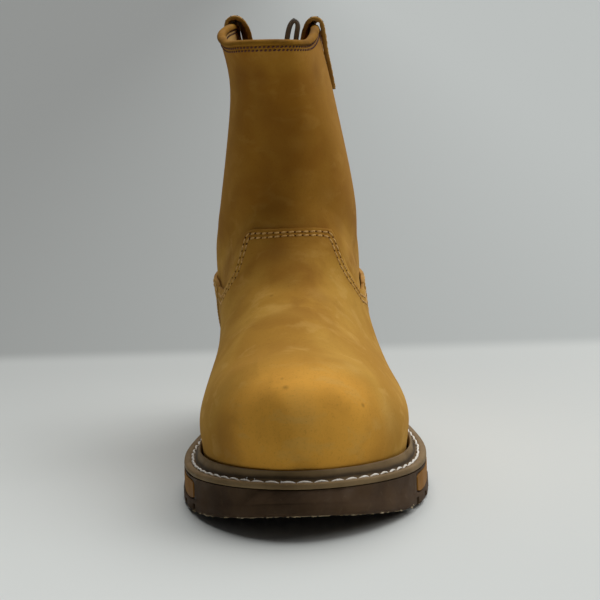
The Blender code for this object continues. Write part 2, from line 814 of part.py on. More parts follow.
def strap_centres(strap, y, tree):
    """Centre line of a strap at one place across its width."""
    side = strap.side
    rim = rim_at(side, y)
    clear = GAP + STRAP_THICK / 2

    def wall_x(z):
        hit = tree.ray_cast(Vector((side * 120.0, y, z)), Vector((-side, 0.0, 0.0)))
        return side * hit[0].x

    line = []
    for up in (-STRAP_OUTER_LENGTH, -26.0, -18.0, -11.0, -6.0):
        z = rim.z + up
        roll = 1.2 * ease((up + 12.0) / 8.0)
        line.append(Vector((side * (wall_x(z) + clear + strap.room + roll), y, z)))
    for row in STRAP_LOOP:
        out = row.out * strap.slack if row.out < 0 else row.out
        spot = rim + Vector((side * out, 0.0, row.up))
        if row.up < -30.0:
            free = wall_x(spot.z) - WALL - clear - strap.room
            spot.x = side * min(side * spot.x, free - 0.6)
        line.append(spot)
    z = rim.z - STRAP_INNER_LENGTH
    line.append(Vector((side * (wall_x(z + 5.0) - WALL - clear - 0.4 - strap.room), y, z + 5.0)))
    line.append(Vector((side * (wall_x(z) - WALL - clear - 0.2 - strap.room), y, z)))
    return line


def band(name, lines, thick, surface):
    """Flat band with a thickness along matching centre lines set side by side."""
    loops = []
    for k in range(len(lines[0])):
        low = max(k - 1, 0)
        high = min(k + 1, len(lines[0]) - 1)
        faces = ([], [])
        for line in lines:
            ahead = (line[high] - line[low]).normalized()
            out = ahead.cross(Vector((0.0, 1.0, 0.0))).normalized()
            faces[0].append(line[k] + out * thick / 2)
            faces[1].append(line[k] - out * thick / 2)
        loops.append(faces[0] + faces[1][::-1])
    return sweep(name, loops, False, surface, sharp=35.0)


def build_straps(leather, tape, tree):
    """Pull straps over the collar's ears, and the tape loop beside the lateral one."""
    for strap in STRAPS:
        lines = []
        for k in range(4):
            y = strap.middle + STRAP_WIDTH * (k / 3 - 0.5)
            lines.append(strap_centres(strap, y, tree))
        band("pull_strap_" + strap.word, lines, STRAP_THICK, leather)
    lines = []
    for k in range(2):
        rim = rim_at(1, STRAPS[1].middle + TAPE_WIDTH * (k - 0.5))
        lines.append([rim + Vector((row.out, 0.0, row.up)) for row in TAPE_LOOP])
    band("tape_loop", lines, TAPE_THICK, tape)


def main():
    """Build every piece of the boot."""
    for old in list(bpy.data.objects):
        bpy.data.objects.remove(old, do_unlink=True)
    nubuck = material("nubuck", (0.32, 0.17, 0.045), 0.9)
    counter_leather = material("counter_nubuck", (0.30, 0.16, 0.042), 0.9)
    strap_leather = material("strap_leather", (0.28, 0.15, 0.04), 0.85)
    binding = material("binding_leather", (0.26, 0.14, 0.04), 0.8)
    rubber = material("sole_rubber", (0.035, 0.025, 0.018), 0.7)
    welt_rubber = material("welt_rubber", (0.09, 0.06, 0.035), 0.6)
    amber = material("amber_rubber", (0.25, 0.11, 0.02), 0.55)
    board = material("insole_board", (0.22, 0.17, 0.12), 0.9)
    tape = material("woven_tape", (0.05, 0.048, 0.042), 0.95)

    build_sole(rubber, amber)
    build_insole(board)
    upper, vamp, counter = build_upper(nubuck, counter_leather)
    build_welt(welt_rubber, tree_of(vamp, counter, upper))
    build_binding(binding)
    build_straps(strap_leather, tape, tree_of(upper))


main()
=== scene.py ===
"""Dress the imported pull-on wellington work boot: leathers, seams, storm welt, sole and a plain studio.

Sizes in the classes are millimetres.  Meshes are in metres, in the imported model's own frame: the toe
points along -Y, the lateral side along +X, and the floor is Z = 0.
"""
from __future__ import annotations

import json
import logging
import math
import random
from collections.abc import Iterable, Sequence
from dataclasses import dataclass, field
from enum import Enum

import bmesh
import bpy
import numpy as np
from mathutils import Matrix, Vector
from mathutils.bvhtree import BVHTree
from mathutils.kdtree import KDTree

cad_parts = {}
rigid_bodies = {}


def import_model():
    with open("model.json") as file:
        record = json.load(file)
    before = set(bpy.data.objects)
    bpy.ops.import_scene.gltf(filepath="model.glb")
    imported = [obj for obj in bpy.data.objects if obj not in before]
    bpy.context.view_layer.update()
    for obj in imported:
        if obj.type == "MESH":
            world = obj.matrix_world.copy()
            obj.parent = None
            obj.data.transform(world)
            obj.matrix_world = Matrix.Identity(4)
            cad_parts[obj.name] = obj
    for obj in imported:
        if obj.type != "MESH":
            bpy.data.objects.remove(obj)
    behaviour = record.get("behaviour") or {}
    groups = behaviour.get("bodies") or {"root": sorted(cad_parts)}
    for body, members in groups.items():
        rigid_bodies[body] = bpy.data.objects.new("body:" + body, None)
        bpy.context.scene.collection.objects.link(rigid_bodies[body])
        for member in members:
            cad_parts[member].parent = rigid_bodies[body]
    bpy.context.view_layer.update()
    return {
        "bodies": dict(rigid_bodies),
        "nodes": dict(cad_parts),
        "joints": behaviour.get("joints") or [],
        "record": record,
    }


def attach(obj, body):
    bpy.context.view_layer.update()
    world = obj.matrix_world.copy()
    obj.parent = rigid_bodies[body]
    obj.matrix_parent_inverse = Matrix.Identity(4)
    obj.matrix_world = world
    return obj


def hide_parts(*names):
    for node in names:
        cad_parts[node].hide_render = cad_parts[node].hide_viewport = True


LOG = logging.getLogger("boot")
MM = 0.001
BODY = "root"

Triple = tuple[float, float, float]
Colour = Triple
Socket = bpy.types.NodeSocket


def tone(red: int, green: int, blue: int) -> Colour:
    """Turn a colour on the 0 to 255 screen scale into a linear one.

    Args:
        red: Red on the screen scale.
        green: Green on the screen scale.
        blue: Blue on the screen scale.

    Returns:
        The linear colour.
    """
    def linear(value: int) -> float:
        """Linear share of one screen value."""
        share = value / 255.0
        return share / 12.92 if share <= 0.04045 else ((share + 0.055) / 1.055) ** 2.4

    return linear(red), linear(green), linear(blue)


def opaque(value: Socket | Colour | float) -> Socket | tuple[float, ...] | float:
    """A colour with full cover added; anything else as it is."""
    return (*value, 1.0) if isinstance(value, tuple) else value


class Skin(Enum):
    """Face of a leather piece; the value is the index of its material."""

    OUTER = 0
    INNER = 1
    EDGE = 2


class View(Enum):
    """Side that a place is found from.

    Each value holds the ray's axis, the side that it starts on and the two axes that place it.
    """

    FRONT = (1, -1, (0, 2))
    BACK = (1, 1, (0, 2))
    MEDIAL = (0, -1, (1, 2))
    LATERAL = (0, 1, (1, 2))
    TOP = (2, 1, (0, 1))


class Graph:
    """Node graph of one material around its principled shader."""

    def __init__(self, name: str) -> None:
        """Start a material with a shader that reads object coordinates.

        Args:
            name: Name of the material.
        """
        self.material = bpy.data.materials.new(name)
        self.material.use_nodes = True
        self.tree = self.material.node_tree
        self.shader = self.tree.nodes["Principled BSDF"]
        self.place: Socket = self.tree.nodes.new("ShaderNodeTexCoord").outputs["Object"]

    def set(self, **values: float | Colour) -> None:
        """Set constants on the shader's own sockets, named with underscores for spaces.

        Args:
            **values: Socket values.
        """
        for key, value in values.items():
            self.shader.inputs[key.replace("_", " ")].default_value = opaque(value)

    def feed(self, name: str, source: Socket) -> None:
        """Link a source into one of the shader's sockets."""
        self.tree.links.new(source, self.shader.inputs[name])

    def node(
        self, kind: str, fills: dict[str | int, Socket | Sequence[float] | float], **options: str
    ) -> bpy.types.Node:
        """Add a node and link or set its sockets.

        Args:
            kind: Blender's name for the kind of node.
            fills: Source or constant for each socket, by its name or number.
            **options: Options of the node.

        Returns:
            The node.
        """
        made = self.tree.nodes.new(kind)
        for option, choice in options.items():
            setattr(made, option, choice)
        for key, fill in fills.items():
            if isinstance(fill, Socket):
                self.tree.links.new(fill, made.inputs[key])
            else:
                made.inputs[key].default_value = fill
        return made

    def stretched(self, scale: Triple, turn: Triple) -> Socket:
        """Object coordinates stretched and turned, for patterns with a direction.

        Args:
            scale: Scale along each axis.
            turn: Turn about each axis, in radians.

        Returns:
            The mapped coordinates.
        """
        fills = {"Vector": self.place, "Scale": scale, "Rotation": turn}
        return self.node("ShaderNodeMapping", fills).outputs["Vector"]

    def noise(
        self,
        scale: float,
        detail: float = 4.0,
        rough: float = 0.55,
        place: Socket | None = None,
        warp: float = 0.0,
    ) -> Socket:
        """Cloudy pattern.

        Args:
            scale: Cells to the metre.
            detail: Number of finer layers.
            rough: Weight of the finer layers.
            place: Coordinates, if not the plain ones.
            warp: How far the pattern is pulled about.

        Returns:
            The pattern's value.
        """
        fills = {
            "Vector": place or self.place,
            "Scale": scale,
            "Detail": detail,
            "Roughness": rough,
            "Distortion": warp,
        }
        return self.node("ShaderNodeTexNoise", fills).outputs["Fac"]

    def cells(self, scale: float) -> Socket:
        """Pebbled pattern, with a number of cells to the metre: distance to the nearest cell's middle."""
        fills = {"Vector": self.place, "Scale": scale}
        return self.node("ShaderNodeTexVoronoi", fills).outputs["Distance"]

    def bands(self, scale: float, axis: str, wobble: float) -> Socket:
        """Parallel bands across one axis.

        Args:
            scale: Bands to the metre, before Blender's own factor.
            axis: X, Y or Z.
            wobble: How far the bands waver.

        Returns:
            The pattern's value.
        """
        fills = {"Vector": self.place, "Scale": scale, "Distortion": wobble}
        return self.node("ShaderNodeTexWave", fills, bands_direction=axis).outputs["Fac"]

    def spread(
        self, source: Socket, low: float, high: float, start: float = 0.0, end: float = 1.0
    ) -> Socket:
        """Stretch a value's range and hold it at both ends.

        Args:
            source: Value to stretch.
            low: Input that gives start.
            high: Input that gives end.
            start: Output at low.
            end: Output at high.

        Returns:
            The stretched value.
        """
        fills = {0: source, 1: low, 2: high, 3: start, 4: end}
        return self.node("ShaderNodeMapRange", fills, interpolation_type="SMOOTHSTEP").outputs[0]

    def along(self, axis: str) -> Socket:
        """Object coordinate along X, Y or Z."""
        return self.node("ShaderNodeSeparateXYZ", {0: self.place}).outputs[axis]

    def layer(self, name: str) -> Socket:
        """Value that the mesh itself carries at its points."""
        return self.node("ShaderNodeAttribute", {}, attribute_name=name).outputs["Fac"]

    def times(self, first: Socket, second: Socket | float, operation: str = "MULTIPLY") -> Socket:
        """Combine two values, by default as their product.

        Args:
            first: A value.
            second: A value or a number.
            operation: Math operation.

        Returns:
            The result.
        """
        return self.node("ShaderNodeMath", {0: first, 1: second}, operation=operation).outputs[0]

    def mix(
        self, share: Socket, first: Socket | Colour, second: Socket | Colour, blend: str = "MIX"
    ) -> Socket:
        """Blend two colours.

        Args:
            share: Share of the second colour.
            first: Colour at no share.
            second: Colour at full share.
            blend: Way of blending.

        Returns:
            The blended colour.
        """
        fills = {0: share, 6: opaque(first), 7: opaque(second)}
        return self.node("ShaderNodeMix", fills, data_type="RGBA", blend_type=blend).outputs[2]

    def bump(
        self, height: Socket, strength: float, distance: float, below: Socket | None = None
    ) -> Socket:
        """Relief from a height.

        Args:
            height: Height pattern.
            strength: Strength of the relief.
            distance: Height of the relief, in metres.
            below: Relief that this one lies on.

        Returns:
            The bent normal.
        """
        fills = {"Height": height, "Strength": strength, "Distance": distance}
        if below is not None:
            fills["Normal"] = below
        return self.node("ShaderNodeBump", fills).outputs["Normal"]


@dataclass(frozen=True)
class Mark:
    """Soft round patch or small blemish on the nap, placed from the front; the larger patches are partly
    uneven nap and partly painted shade and painted light.

    The depth of its place comes from the leather itself.  A shade below zero is dark, and above it pale.
    Ragged, core and end are shares of the radius: how far a cloudy pattern moves the edge, and where
    the mark starts and stops fading.
    """

    across: float
    up: float
    radius: float
    shade: float
    ragged: float = 1.6
    core: float = 0.7
    end: float = 1.8

    def mask(self, graph: Graph, probe: Probe, cloudy: Socket) -> Socket:
        """Soft mask about the mark's place, with an uneven edge.

        Args:
            graph: Graph that takes the mask.
            probe: Leather that the mark lies on.
            cloudy: Pattern that moves the edge in and out.

        Returns:
            A value that falls from the middle to none beyond the edge.
        """
        radius = self.radius * MM
        spot = probe.point(View.FRONT, self.across, self.up)
        away = graph.node("ShaderNodeVectorMath", {0: graph.place, 1: spot}, operation="DISTANCE")
        fills = {0: cloudy, 1: self.ragged * radius, 2: away.outputs["Value"]}
        edge = graph.node("ShaderNodeMath", fills, operation="MULTIPLY_ADD")
        return graph.spread(edge.outputs[0], self.core * radius, self.end * radius, 1.0, 0.0)


@dataclass(frozen=True)
class Nubuck:
    """Brushed grain leather: mottled nap with soft patches, fine grain and a little fuzz, with painted
    light on the front of the toe and painted shade up the shaft.
    """

    name: str
    # Dark tone for stains and fibres, and for the painted shade of the dark patches.
    stain_and_shade: Colour
    dark: Colour
    plain: Colour
    light: Colour
    pale: Colour
    # Lighter tone on the front of the toe: painted light.
    toe: Colour
    # Multiplier that darkens the upper shaft: painted shade.
    shaft_shade: Colour
    # Heights in millimetres over which the painted shade on the upper shaft grows, with a wandering edge.
    shade_from: float = 84.0
    shade_to: float = 132.0
    shade_wander: float = 12.0
    # Y in millimetres over which the painted light on the toe's front fades out, and its strength.
    toe_light_from: float = -102.0
    toe_light_to: float = -134.0
    toe_light_share: float = 0.8
    dark_share: float = 0.26
    brush_share: float = 0.3
    brush_scale: Triple = (42.0, 90.0, 110.0)
    brush_turn: Triple = (0.3, 0.35, 0.5)
    mark_share: float = 0.75
    fuzz_share: float = 0.25
    roughness: float = 0.9
    marks: tuple[Mark, ...] = ()

    def make(self, probe: Probe) -> bpy.types.Material:
        """Build the material.

        Args:
            probe: Leather surface that the marks are placed on.

        Returns:
            The material.
        """
        graph = Graph(self.name)
        cloud = graph.noise(26.0, 2.0, 0.5, warp=0.6)
        patch = graph.noise(46.0, 3.0, 0.5, warp=0.35)
        strokes = graph.stretched(self.brush_scale, self.brush_turn)
        brushed = graph.noise(1.0, 3.0, 0.55, strokes, 0.5)
        fibre = graph.noise(900.0, 3.0, 0.7)
        colour = graph.mix(graph.spread(cloud, 0.36, 0.64), self.plain, self.light)
        # Painted light: blend the front of the toe towards the lighter toe tone.
        toe = graph.spread(graph.along("Y"), self.toe_light_to * MM, self.toe_light_from * MM, self.toe_light_share, 0.0)
        colour = graph.mix(toe, colour, self.toe)
        rubbed = graph.times(graph.spread(patch, 0.42, 0.74), self.dark_share)
        colour = graph.mix(rubbed, colour, self.dark)
        stroked = graph.times(graph.spread(brushed, 0.52, 0.68), self.brush_share)
        colour = graph.mix(stroked, colour, self.pale)
        # Marks: small stains, and larger patches that are partly uneven nap and partly painted shade and
        # light.
        for mark in self.marks:
            share = graph.times(mark.mask(graph, probe, patch), self.mark_share * abs(mark.shade))
            colour = graph.mix(share, colour, self.pale if mark.shade > 0 else self.stain_and_shade)
        fuzz = graph.times(graph.spread(fibre, 0.5, 0.8), self.fuzz_share)
        colour = graph.mix(fuzz, colour, self.stain_and_shade)
        # Painted shade: darken the upper shaft, with a wandering lower edge.
        wander = graph.spread(patch, 0.3, 0.7, -self.shade_wander * MM, self.shade_wander * MM)
        height = graph.times(wander, graph.along("Z"), "ADD")
        shaft = graph.spread(height, self.shade_from * MM, self.shade_to * MM)
        graph.feed("Base Color", graph.mix(shaft, colour, self.shaft_shade, "MULTIPLY"))
        graph.set(Roughness=self.roughness, Specular_IOR_Level=0.2)
        graph.set(Sheen_Weight=0.12, Sheen_Roughness=0.5, Sheen_Tint=self.pale)
        soft = graph.bump(graph.noise(210.0, 3.0, 0.5), 0.2, 0.0004)
        graph.feed("Normal", graph.bump(fibre, 0.3, 0.00022, soft))
        return graph.material


@dataclass(frozen=True)
class SmoothLeather:
    """Smooth or lining leather with a fine pebble and a slight shine."""

    name: str
    dark: Colour
    plain: Colour
    roughness: float = 0.8
    vary: float = 0.08
    shine: float = 0.14
    pebble: float = 900.0
    depth: float = 0.00018

    def make(self) -> bpy.types.Material:
        """Build the material.

        Returns:
            The material.
        """
        graph = Graph(self.name)
        share = graph.spread(graph.noise(60.0, 5.0, 0.6), 0.32, 0.66)
        graph.feed("Base Color", graph.mix(share, self.dark, self.plain))
        low, high = self.roughness - self.vary, self.roughness + self.vary
        graph.feed("Roughness", graph.spread(graph.noise(130.0), 0.3, 0.7, low, high))
        wrinkle = graph.bump(graph.noise(240.0, 4.0, 0.6), 0.3, 0.0004)
        graph.feed("Normal", graph.bump(graph.cells(self.pebble), 0.35, self.depth, wrinkle))
        graph.set(Specular_IOR_Level=self.shine)
        return graph.material


@dataclass(frozen=True)
class Rubber:
    """Moulded rubber with a matte skin, faint mould marks and specks of pale dust.

    Shaded names the value on the mesh that says where the rubber lies in the groove, which is darkened as
    painted shade.
    """

    name: str
    dark: Colour
    plain: Colour
    dust: Colour
    roughness: float = 0.6
    dusty: float = 0.3
    shaded: str = ""
    shadow: Colour = (0.16, 0.14, 0.12)
    vary: float = 0.1
    shine: float = 0.22
    grain: float = 620.0

    def make(self) -> bpy.types.Material:
        """Build the material.

        Returns:
            The material.
        """
        graph = Graph(self.name)
        share = graph.spread(graph.noise(38.0, 5.0, 0.6), 0.3, 0.7)
        colour = graph.mix(share, self.dark, self.plain)
        speck = graph.times(graph.spread(graph.noise(260.0, 4.0, 0.7), 0.56, 0.74), self.dusty)
        colour = graph.mix(speck, colour, self.dust)
        # Painted shade: darken the rubber where it lies in the groove.
        if self.shaded:
            colour = graph.mix(graph.layer(self.shaded), colour, self.shadow, "MULTIPLY")
        graph.feed("Base Color", colour)
        low, high = self.roughness - self.vary, self.roughness + self.vary
        graph.feed("Roughness", graph.spread(graph.noise(90.0), 0.3, 0.7, low, high))
        graph.feed("Normal", graph.bump(graph.noise(self.grain, 3.0, 0.6), 0.3, 0.00022))
        graph.set(Specular_IOR_Level=self.shine)
        return graph.material


@dataclass(frozen=True)
class Thread:
    """Twisted sewing thread with slanted plies."""

    name: str
    dark: Colour
    plain: Colour
    twist: float = 900.0
    fuzz: float = 0.2
    roughness: float = 0.75
    slant: Triple = (0.6, 0.7, 0.5)

    def make(self) -> bpy.types.Material:
        """Build the material.

        Returns:
            The material.
        """
        graph = Graph(self.name)
        place = graph.stretched((self.twist, self.twist * 0.5, self.twist), self.slant)
        ply = graph.noise(1.0, 2.0, 0.5, place)
        graph.feed("Base Color", graph.mix(graph.spread(ply, 0.35, 0.65), self.dark, self.plain))
        graph.feed("Normal", graph.bump(ply, 0.5, 0.0002))
        graph.set(Roughness=self.roughness, Sheen_Weight=self.fuzz)
        return graph.material


@dataclass(frozen=True)
class Weave:
    """Woven tape or cloth with crossing yarns."""

    name: str
    dark: Colour
    plain: Colour
    yarns: float
    axes: tuple[str, str] = ("Y", "Z")
    wobble: float = 0.4
    fuzz_share: float = 0.4

    def make(self) -> bpy.types.Material:
        """Build the material.

        Returns:
            The material.
        """
        graph = Graph(self.name)
        first, second = (graph.bands(self.yarns, axis, self.wobble) for axis in self.axes)
        cross = graph.times(first, second, "MAXIMUM")
        colour = graph.mix(graph.spread(cross, 0.2, 0.95), self.dark, self.plain)
        fuzz = graph.times(graph.spread(graph.noise(500.0, 4.0, 0.7), 0.5, 0.8), self.fuzz_share)
        graph.feed("Base Color", graph.mix(fuzz, colour, self.dark))
        graph.feed("Normal", graph.bump(cross, 0.6, 0.0003))
        graph.set(Roughness=0.92, Sheen_Weight=0.3)
        return graph.material


@dataclass(frozen=True)
class Paper:
    """Plain pale floor that grows a little greyer towards the back, and darker towards the left as
    painted shade.
    """

    name: str
    front: Colour
    back: Colour
    left: Colour
    turn_at: float = 330.0
    turn_over: float = 25.0
    fade: float = 420.0
    dusk_from: float = -60.0
    dusk_share: float = 0.6
    faint_share: float = 0.06

    def make(self) -> bpy.types.Material:
        """Build the material.

        Returns:
            The material.
        """
        graph = Graph(self.name)
        low = (self.turn_at - self.turn_over) * MM
        share = graph.spread(graph.along("Y"), low, (self.turn_at + self.turn_over) * MM)
        # Painted shade: the floor turns darker towards the left beyond the turn, and from beside the boot
        # back to it.
        side = graph.spread(graph.along("X"), -self.fade * MM, self.fade * MM, 1.0, 0.0)
        behind = graph.spread(graph.along("Y"), self.dusk_from * MM, low, 0.0, self.dusk_share)
        front = graph.mix(graph.times(behind, side), self.front, self.left)
        colour = graph.mix(share, front, graph.mix(side, self.back, self.left))
        near_only = graph.spread(share, 0.0, 1.0, self.faint_share, 0.0)
        faint = graph.times(graph.spread(graph.noise(3.0, 2.0, 0.5), 0.35, 0.7), near_only)
        graph.feed("Base Color", graph.mix(faint, colour, self.back))
        graph.set(Roughness=0.85, Specular_IOR_Level=0.2)
        return graph.material


class Probe:
    """Rays onto a set of meshes."""

    def __init__(self, objects: Iterable[bpy.types.Object]) -> None:
        """Gather the meshes.

        Args:
            objects: Meshes that rays can meet.
        """
        points: list[Vector] = []
        faces: list[list[int]] = []
        for made in objects:
            start = len(points)
            points += [v.co.copy() for v in made.data.vertices]
            faces += [[start + k for k in polygon.vertices] for polygon in made.data.polygons]
        self.tree = BVHTree.FromPolygons(points, faces)

    def point(self, view: View, across: float, up: float) -> Vector:
        """Place on the meshes that a ray from one side meets.

        Args:
            view: Side that the ray comes from.
            across: First coordinate of the ray, in millimetres.
            up: Second coordinate of the ray, in millimetres.

        Returns:
            The place in metres, or the origin where the ray meets nothing.
        """
        axis, sign, plane = view.value
        start = Vector()
        start[plane[0]] = across * MM
        start[plane[1]] = up * MM
        start[axis] = float(sign)
        way = Vector()
        way[axis] = -float(sign)
        return self.tree.ray_cast(start, way)[0] or Vector()

    def drop(self, spot: Vector) -> Vector | None:
        """First place straight below a spot, or None."""
        return self.tree.ray_cast(spot, Vector((0.0, 0.0, -1.0)))[0]

    def settle(self, spot: Vector) -> tuple[Vector, Vector]:
        """Nearest place on the meshes and its normal."""
        place, normal, _, _ = self.tree.find_nearest(spot)
        return place, normal


@dataclass(frozen=True)
class Fold:
    """Soft trough or ridge on the leather along a short bent line, placed from one side.

    A negative depth is a trough and a positive one a ridge.
    """

    view: View
    start: tuple[float, float]
    middle: tuple[float, float]
    end: tuple[float, float]
    width: float
    depth: float
    parts: int = 12

    def line(self, probe: Probe) -> np.ndarray:
        """Points of the bent line on the leather.

        Args:
            probe: Leather that the fold lies on.

        Returns:
            The points, in millimetres.
        """
        bend = [2 * m - (s + e) / 2 for s, m, e in zip(self.start, self.middle, self.end)]
        found = []
        for k in range(self.parts + 1):
            t = k / self.parts
            pull = 2 * t * (1 - t)
            across, up = (
                s * (1 - t) ** 2 + b * pull + e * t**2 for s, b, e in zip(self.start, bend, self.end)
            )
            found.append(probe.point(self.view, across, up) / MM)
        return np.array(found)


class FoldField:
    """All the folds, as a push along the outward direction of the upper."""

    neighbours: int = 4
    soften: float = 0.5
    least_push: float = 0.01

    def __init__(self, folds: Sequence[Fold], probe: Probe, skin: bpy.types.Object) -> None:
        """Place the folds on the leather.

        Args:
            folds: Folds to place.
            probe: Leather that the folds lie on.
            skin: Refined upper, whose outer face gives the directions.
        """
        self.lines = [(fold.line(probe), fold.width, fold.depth) for fold in folds]
        outer = {
            k
            for polygon in skin.data.polygons
            if polygon.material_index == Skin.OUTER.value
            for k in polygon.vertices
        }
        self.normals = [v.normal.copy() for v in skin.data.vertices]
        self.compass = KDTree(len(outer))
        for k in outer:
            self.compass.insert(skin.data.vertices[k].co, k)
        self.compass.balance()

    def outward(self, spot: Vector) -> Vector:
        """Outward direction of the upper near a spot.

        Args:
            spot: Place near the leather, in metres.

        Returns:
            The direction.
        """
        total = Vector()
        for _, index, away in self.compass.find_n(spot, self.neighbours):
            total += self.normals[index] / (away + self.soften * MM)
        return total.normalized()

    def press(self, made: bpy.types.Object) -> None:
        """Push a piece's vertices by the folds.

        Args:
            made: Piece to fold.
        """
        mesh = made.data
        flat = np.empty(len(mesh.vertices) * 3)
        mesh.vertices.foreach_get("co", flat)
        spots = flat.reshape(-1, 3)
        push = np.zeros(len(spots))
        for line, width, depth in self.lines:
            away = np.min(np.linalg.norm(spots[:, None, :] / MM - line[None, :, :], axis=2), axis=1)
            push += depth * np.exp(-((away / width) ** 2))
        for k in np.nonzero(np.abs(push) > self.least_push)[0]:
            spots[k] += np.array(self.outward(Vector(spots[k]))) * push[k] * MM
        mesh.vertices.foreach_set("co", spots.reshape(-1))
        mesh.update()


@dataclass
class Border:
    """Run along the edge of a skin, with the way into the skin at each point."""

    points: list[Vector]
    inward: list[Vector]

    def inset(self, distance: float) -> list[Vector]:
        """Points at a distance inside the edge, in millimetres."""
        return [p + w * distance * MM for p, w in zip(self.points, self.inward)]


@dataclass
class Refined:
    """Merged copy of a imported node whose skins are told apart, smoothed and dressed."""

    node: str
    sharp: float = 45.0
    levels: int = 2
    crease: float = 0.75
    pinch: float = 2.0
    mitre: float = 0.6
    widen: float = 0.0
    merge: float = 0.002
    join_angle: float = 28.0
    join_shape: float = 70.0
    mesh: bmesh.types.BMesh = field(init=False, repr=False)

    def open(self, frame: dict) -> Refined:
        """Copy the node, merge its loose triangles and join them into quads.

        Args:
            frame: Loaded frame.

        Returns:
            This copy.
        """
        self.mesh = bmesh.new()
        self.mesh.from_mesh(frame["nodes"][self.node].data)
        bmesh.ops.remove_doubles(self.mesh, verts=self.mesh.verts, dist=self.merge * MM)
        bmesh.ops.join_triangles(
            self.mesh,
            faces=self.mesh.faces,
            angle_face_threshold=math.radians(self.join_angle),
            angle_shape_threshold=math.radians(self.join_shape),
        )
        return self

    def is_sharp(self, edge: bmesh.types.BMEdge) -> bool:
        """Whether an edge parts two skins."""
        return len(edge.link_faces) != 2 or edge.calc_face_angle(0.0) > math.radians(self.sharp)

    def patches(self) -> list[list[bmesh.types.BMFace]]:
        """Part the faces into skins.

        Returns:
            The faces of each skin, the largest skin first.
        """
        left = dict.fromkeys(self.mesh.faces)
        found = []
        while left:
            front = [left.popitem()[0]]
            patch = []
            while front:
                face = front.pop()
                patch.append(face)
                for edge in face.edges:
                    if self.is_sharp(edge):
                        continue
                    for other in edge.link_faces:
                        if other in left:
                            del left[other]
                            front.append(other)
            found.append(patch)
        return sorted(found, key=lambda patch: -sum(face.calc_area() for face in patch))

    def mark_skins(self) -> list[bmesh.types.BMFace]:
        """Give the outer skin, the inner skin and the cut edges their material indices.

        Returns:
            The faces of the outer skin.
        """
        patches = self.patches()
        for rank, patch in enumerate(patches):
            for face in patch:
                face.material_index = min(rank, Skin.EDGE.value)
        return patches[0]

    def runs(
        self, patch: Sequence[bmesh.types.BMFace], above: float
    ) -> list[list[bmesh.types.BMVert]]:
        """Chains of points along a skin's edge, without those where the edge doubles back.

        Args:
            patch: Faces of the skin.
            above: Height that the points are above, in millimetres.

        Returns:
            The chains, longest first.
        """
        inside = set(patch)
        ahead: dict[bmesh.types.BMVert, bmesh.types.BMVert] = {}
        for face in patch:
            for loop in face.loops:
                on_edge = not all(other in inside for other in loop.edge.link_faces)
                if on_edge and loop.vert.co.z / MM > above:
                    ahead[loop.vert] = loop.link_loop_next.vert
        followed = set(ahead.values())
        starts = [vert for vert in ahead if vert not in followed]
        found = []
        for start in starts or sorted(ahead, key=lambda vert: vert.co.y)[:1]:
            run = [start]
            while ahead[run[-1]] in ahead and ahead[run[-1]] is not start:
                run.append(ahead[run[-1]])
            if not starts:
                run.append(start)
            found.append(run)
        return [self.unpinched(run) for run in sorted(found, key=len, reverse=True)]

    def unpinched(self, run: Sequence[bmesh.types.BMVert]) -> list[bmesh.types.BMVert]:
        """A chain without the points whose two neighbours nearly meet.

        Args:
            run: Chain of points.

        Returns:
            The points that are kept.
        """
        return [
            vert
            for k, vert in enumerate(run)
            if k in (0, len(run) - 1)
            or (run[k + 1].co - run[k - 1].co).length >= self.pinch * MM
        ]

    def borders(self, patch: Sequence[bmesh.types.BMFace], above: float = 0.0) -> list[Border]:
        """Runs of a skin's edge, with mitred ways into the skin.

        Args:
            patch: Faces of the skin.
            above: Height that the runs are above, in millimetres.

        Returns:
            The runs, longest first.
        """
        inside = set(patch)
        found = []
        for run in self.runs(patch, above):
            if len(run) < 2:
                continue
            points = [v.co.copy() for v in run]
            inward = []
            for k, vert in enumerate(run):
                normal = Vector()
                for face in vert.link_faces:
                    if face in inside:
                        normal += face.normal * face.calc_area()
                steps = [points[j + 1] - points[j] for j in (k - 1, k) if 0 <= j < len(run) - 1]
                ways = [normal.cross(step).normalized() for step in steps]
                middle = sum(ways, Vector()).normalized()
                wide = 1.0 + self.widen * (1.0 - abs(normal.normalized().y))
                inward.append(middle * wide / max(middle.dot(ways[0]), self.mitre))
            found.append(Border(points, inward))
        return found

    def finish(
        self, name: str, materials: Sequence[bpy.types.Material], slot: str
    ) -> bpy.types.Object:
        """Smooth the copy into a piece that stands for its node.

        Args:
            name: Name of the piece.
            materials: Materials in the order of the material indices.
            slot: Material slot of the record; not used.

        Returns:
            The piece.
        """
        if self.levels:
            weights = self.mesh.edges.layers.float.new("crease_edge")
            for edge in self.mesh.edges:
                if self.is_sharp(edge):
                    edge[weights] = self.crease
        made = place_piece(self.mesh, name, materials)
        if self.levels:
            step = made.modifiers.new("smooth", "SUBSURF")
            step.levels = self.levels
            step.render_levels = self.levels
            graph = bpy.context.evaluated_depsgraph_get()
            dense = bpy.data.meshes.new_from_object(made.evaluated_get(graph))
            made.modifiers.clear()
            made.data = dense
        made.data.shade_smooth()
        made.data.set_sharp_from_angle(angle=math.radians(self.sharp))
        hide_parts(self.node)
        return made


def place_piece(
    mesh: bmesh.types.BMesh, name: str, materials: Sequence[bpy.types.Material]
) -> bpy.types.Object:
    """Turn a bmesh into a piece that rides with the boot.

    Args:
        mesh: Finished bmesh, which is freed.
        name: Name of the piece.
        materials: Its materials.

    Returns:
        The piece.
    """
    data = bpy.data.meshes.new(name)
    mesh.to_mesh(data)
    mesh.free()
    for material in materials:
        data.materials.append(material)
    data.shade_smooth()
    made = bpy.data.objects.new(name, data)
    bpy.context.scene.collection.objects.link(made)
    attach(made, BODY)
    return made


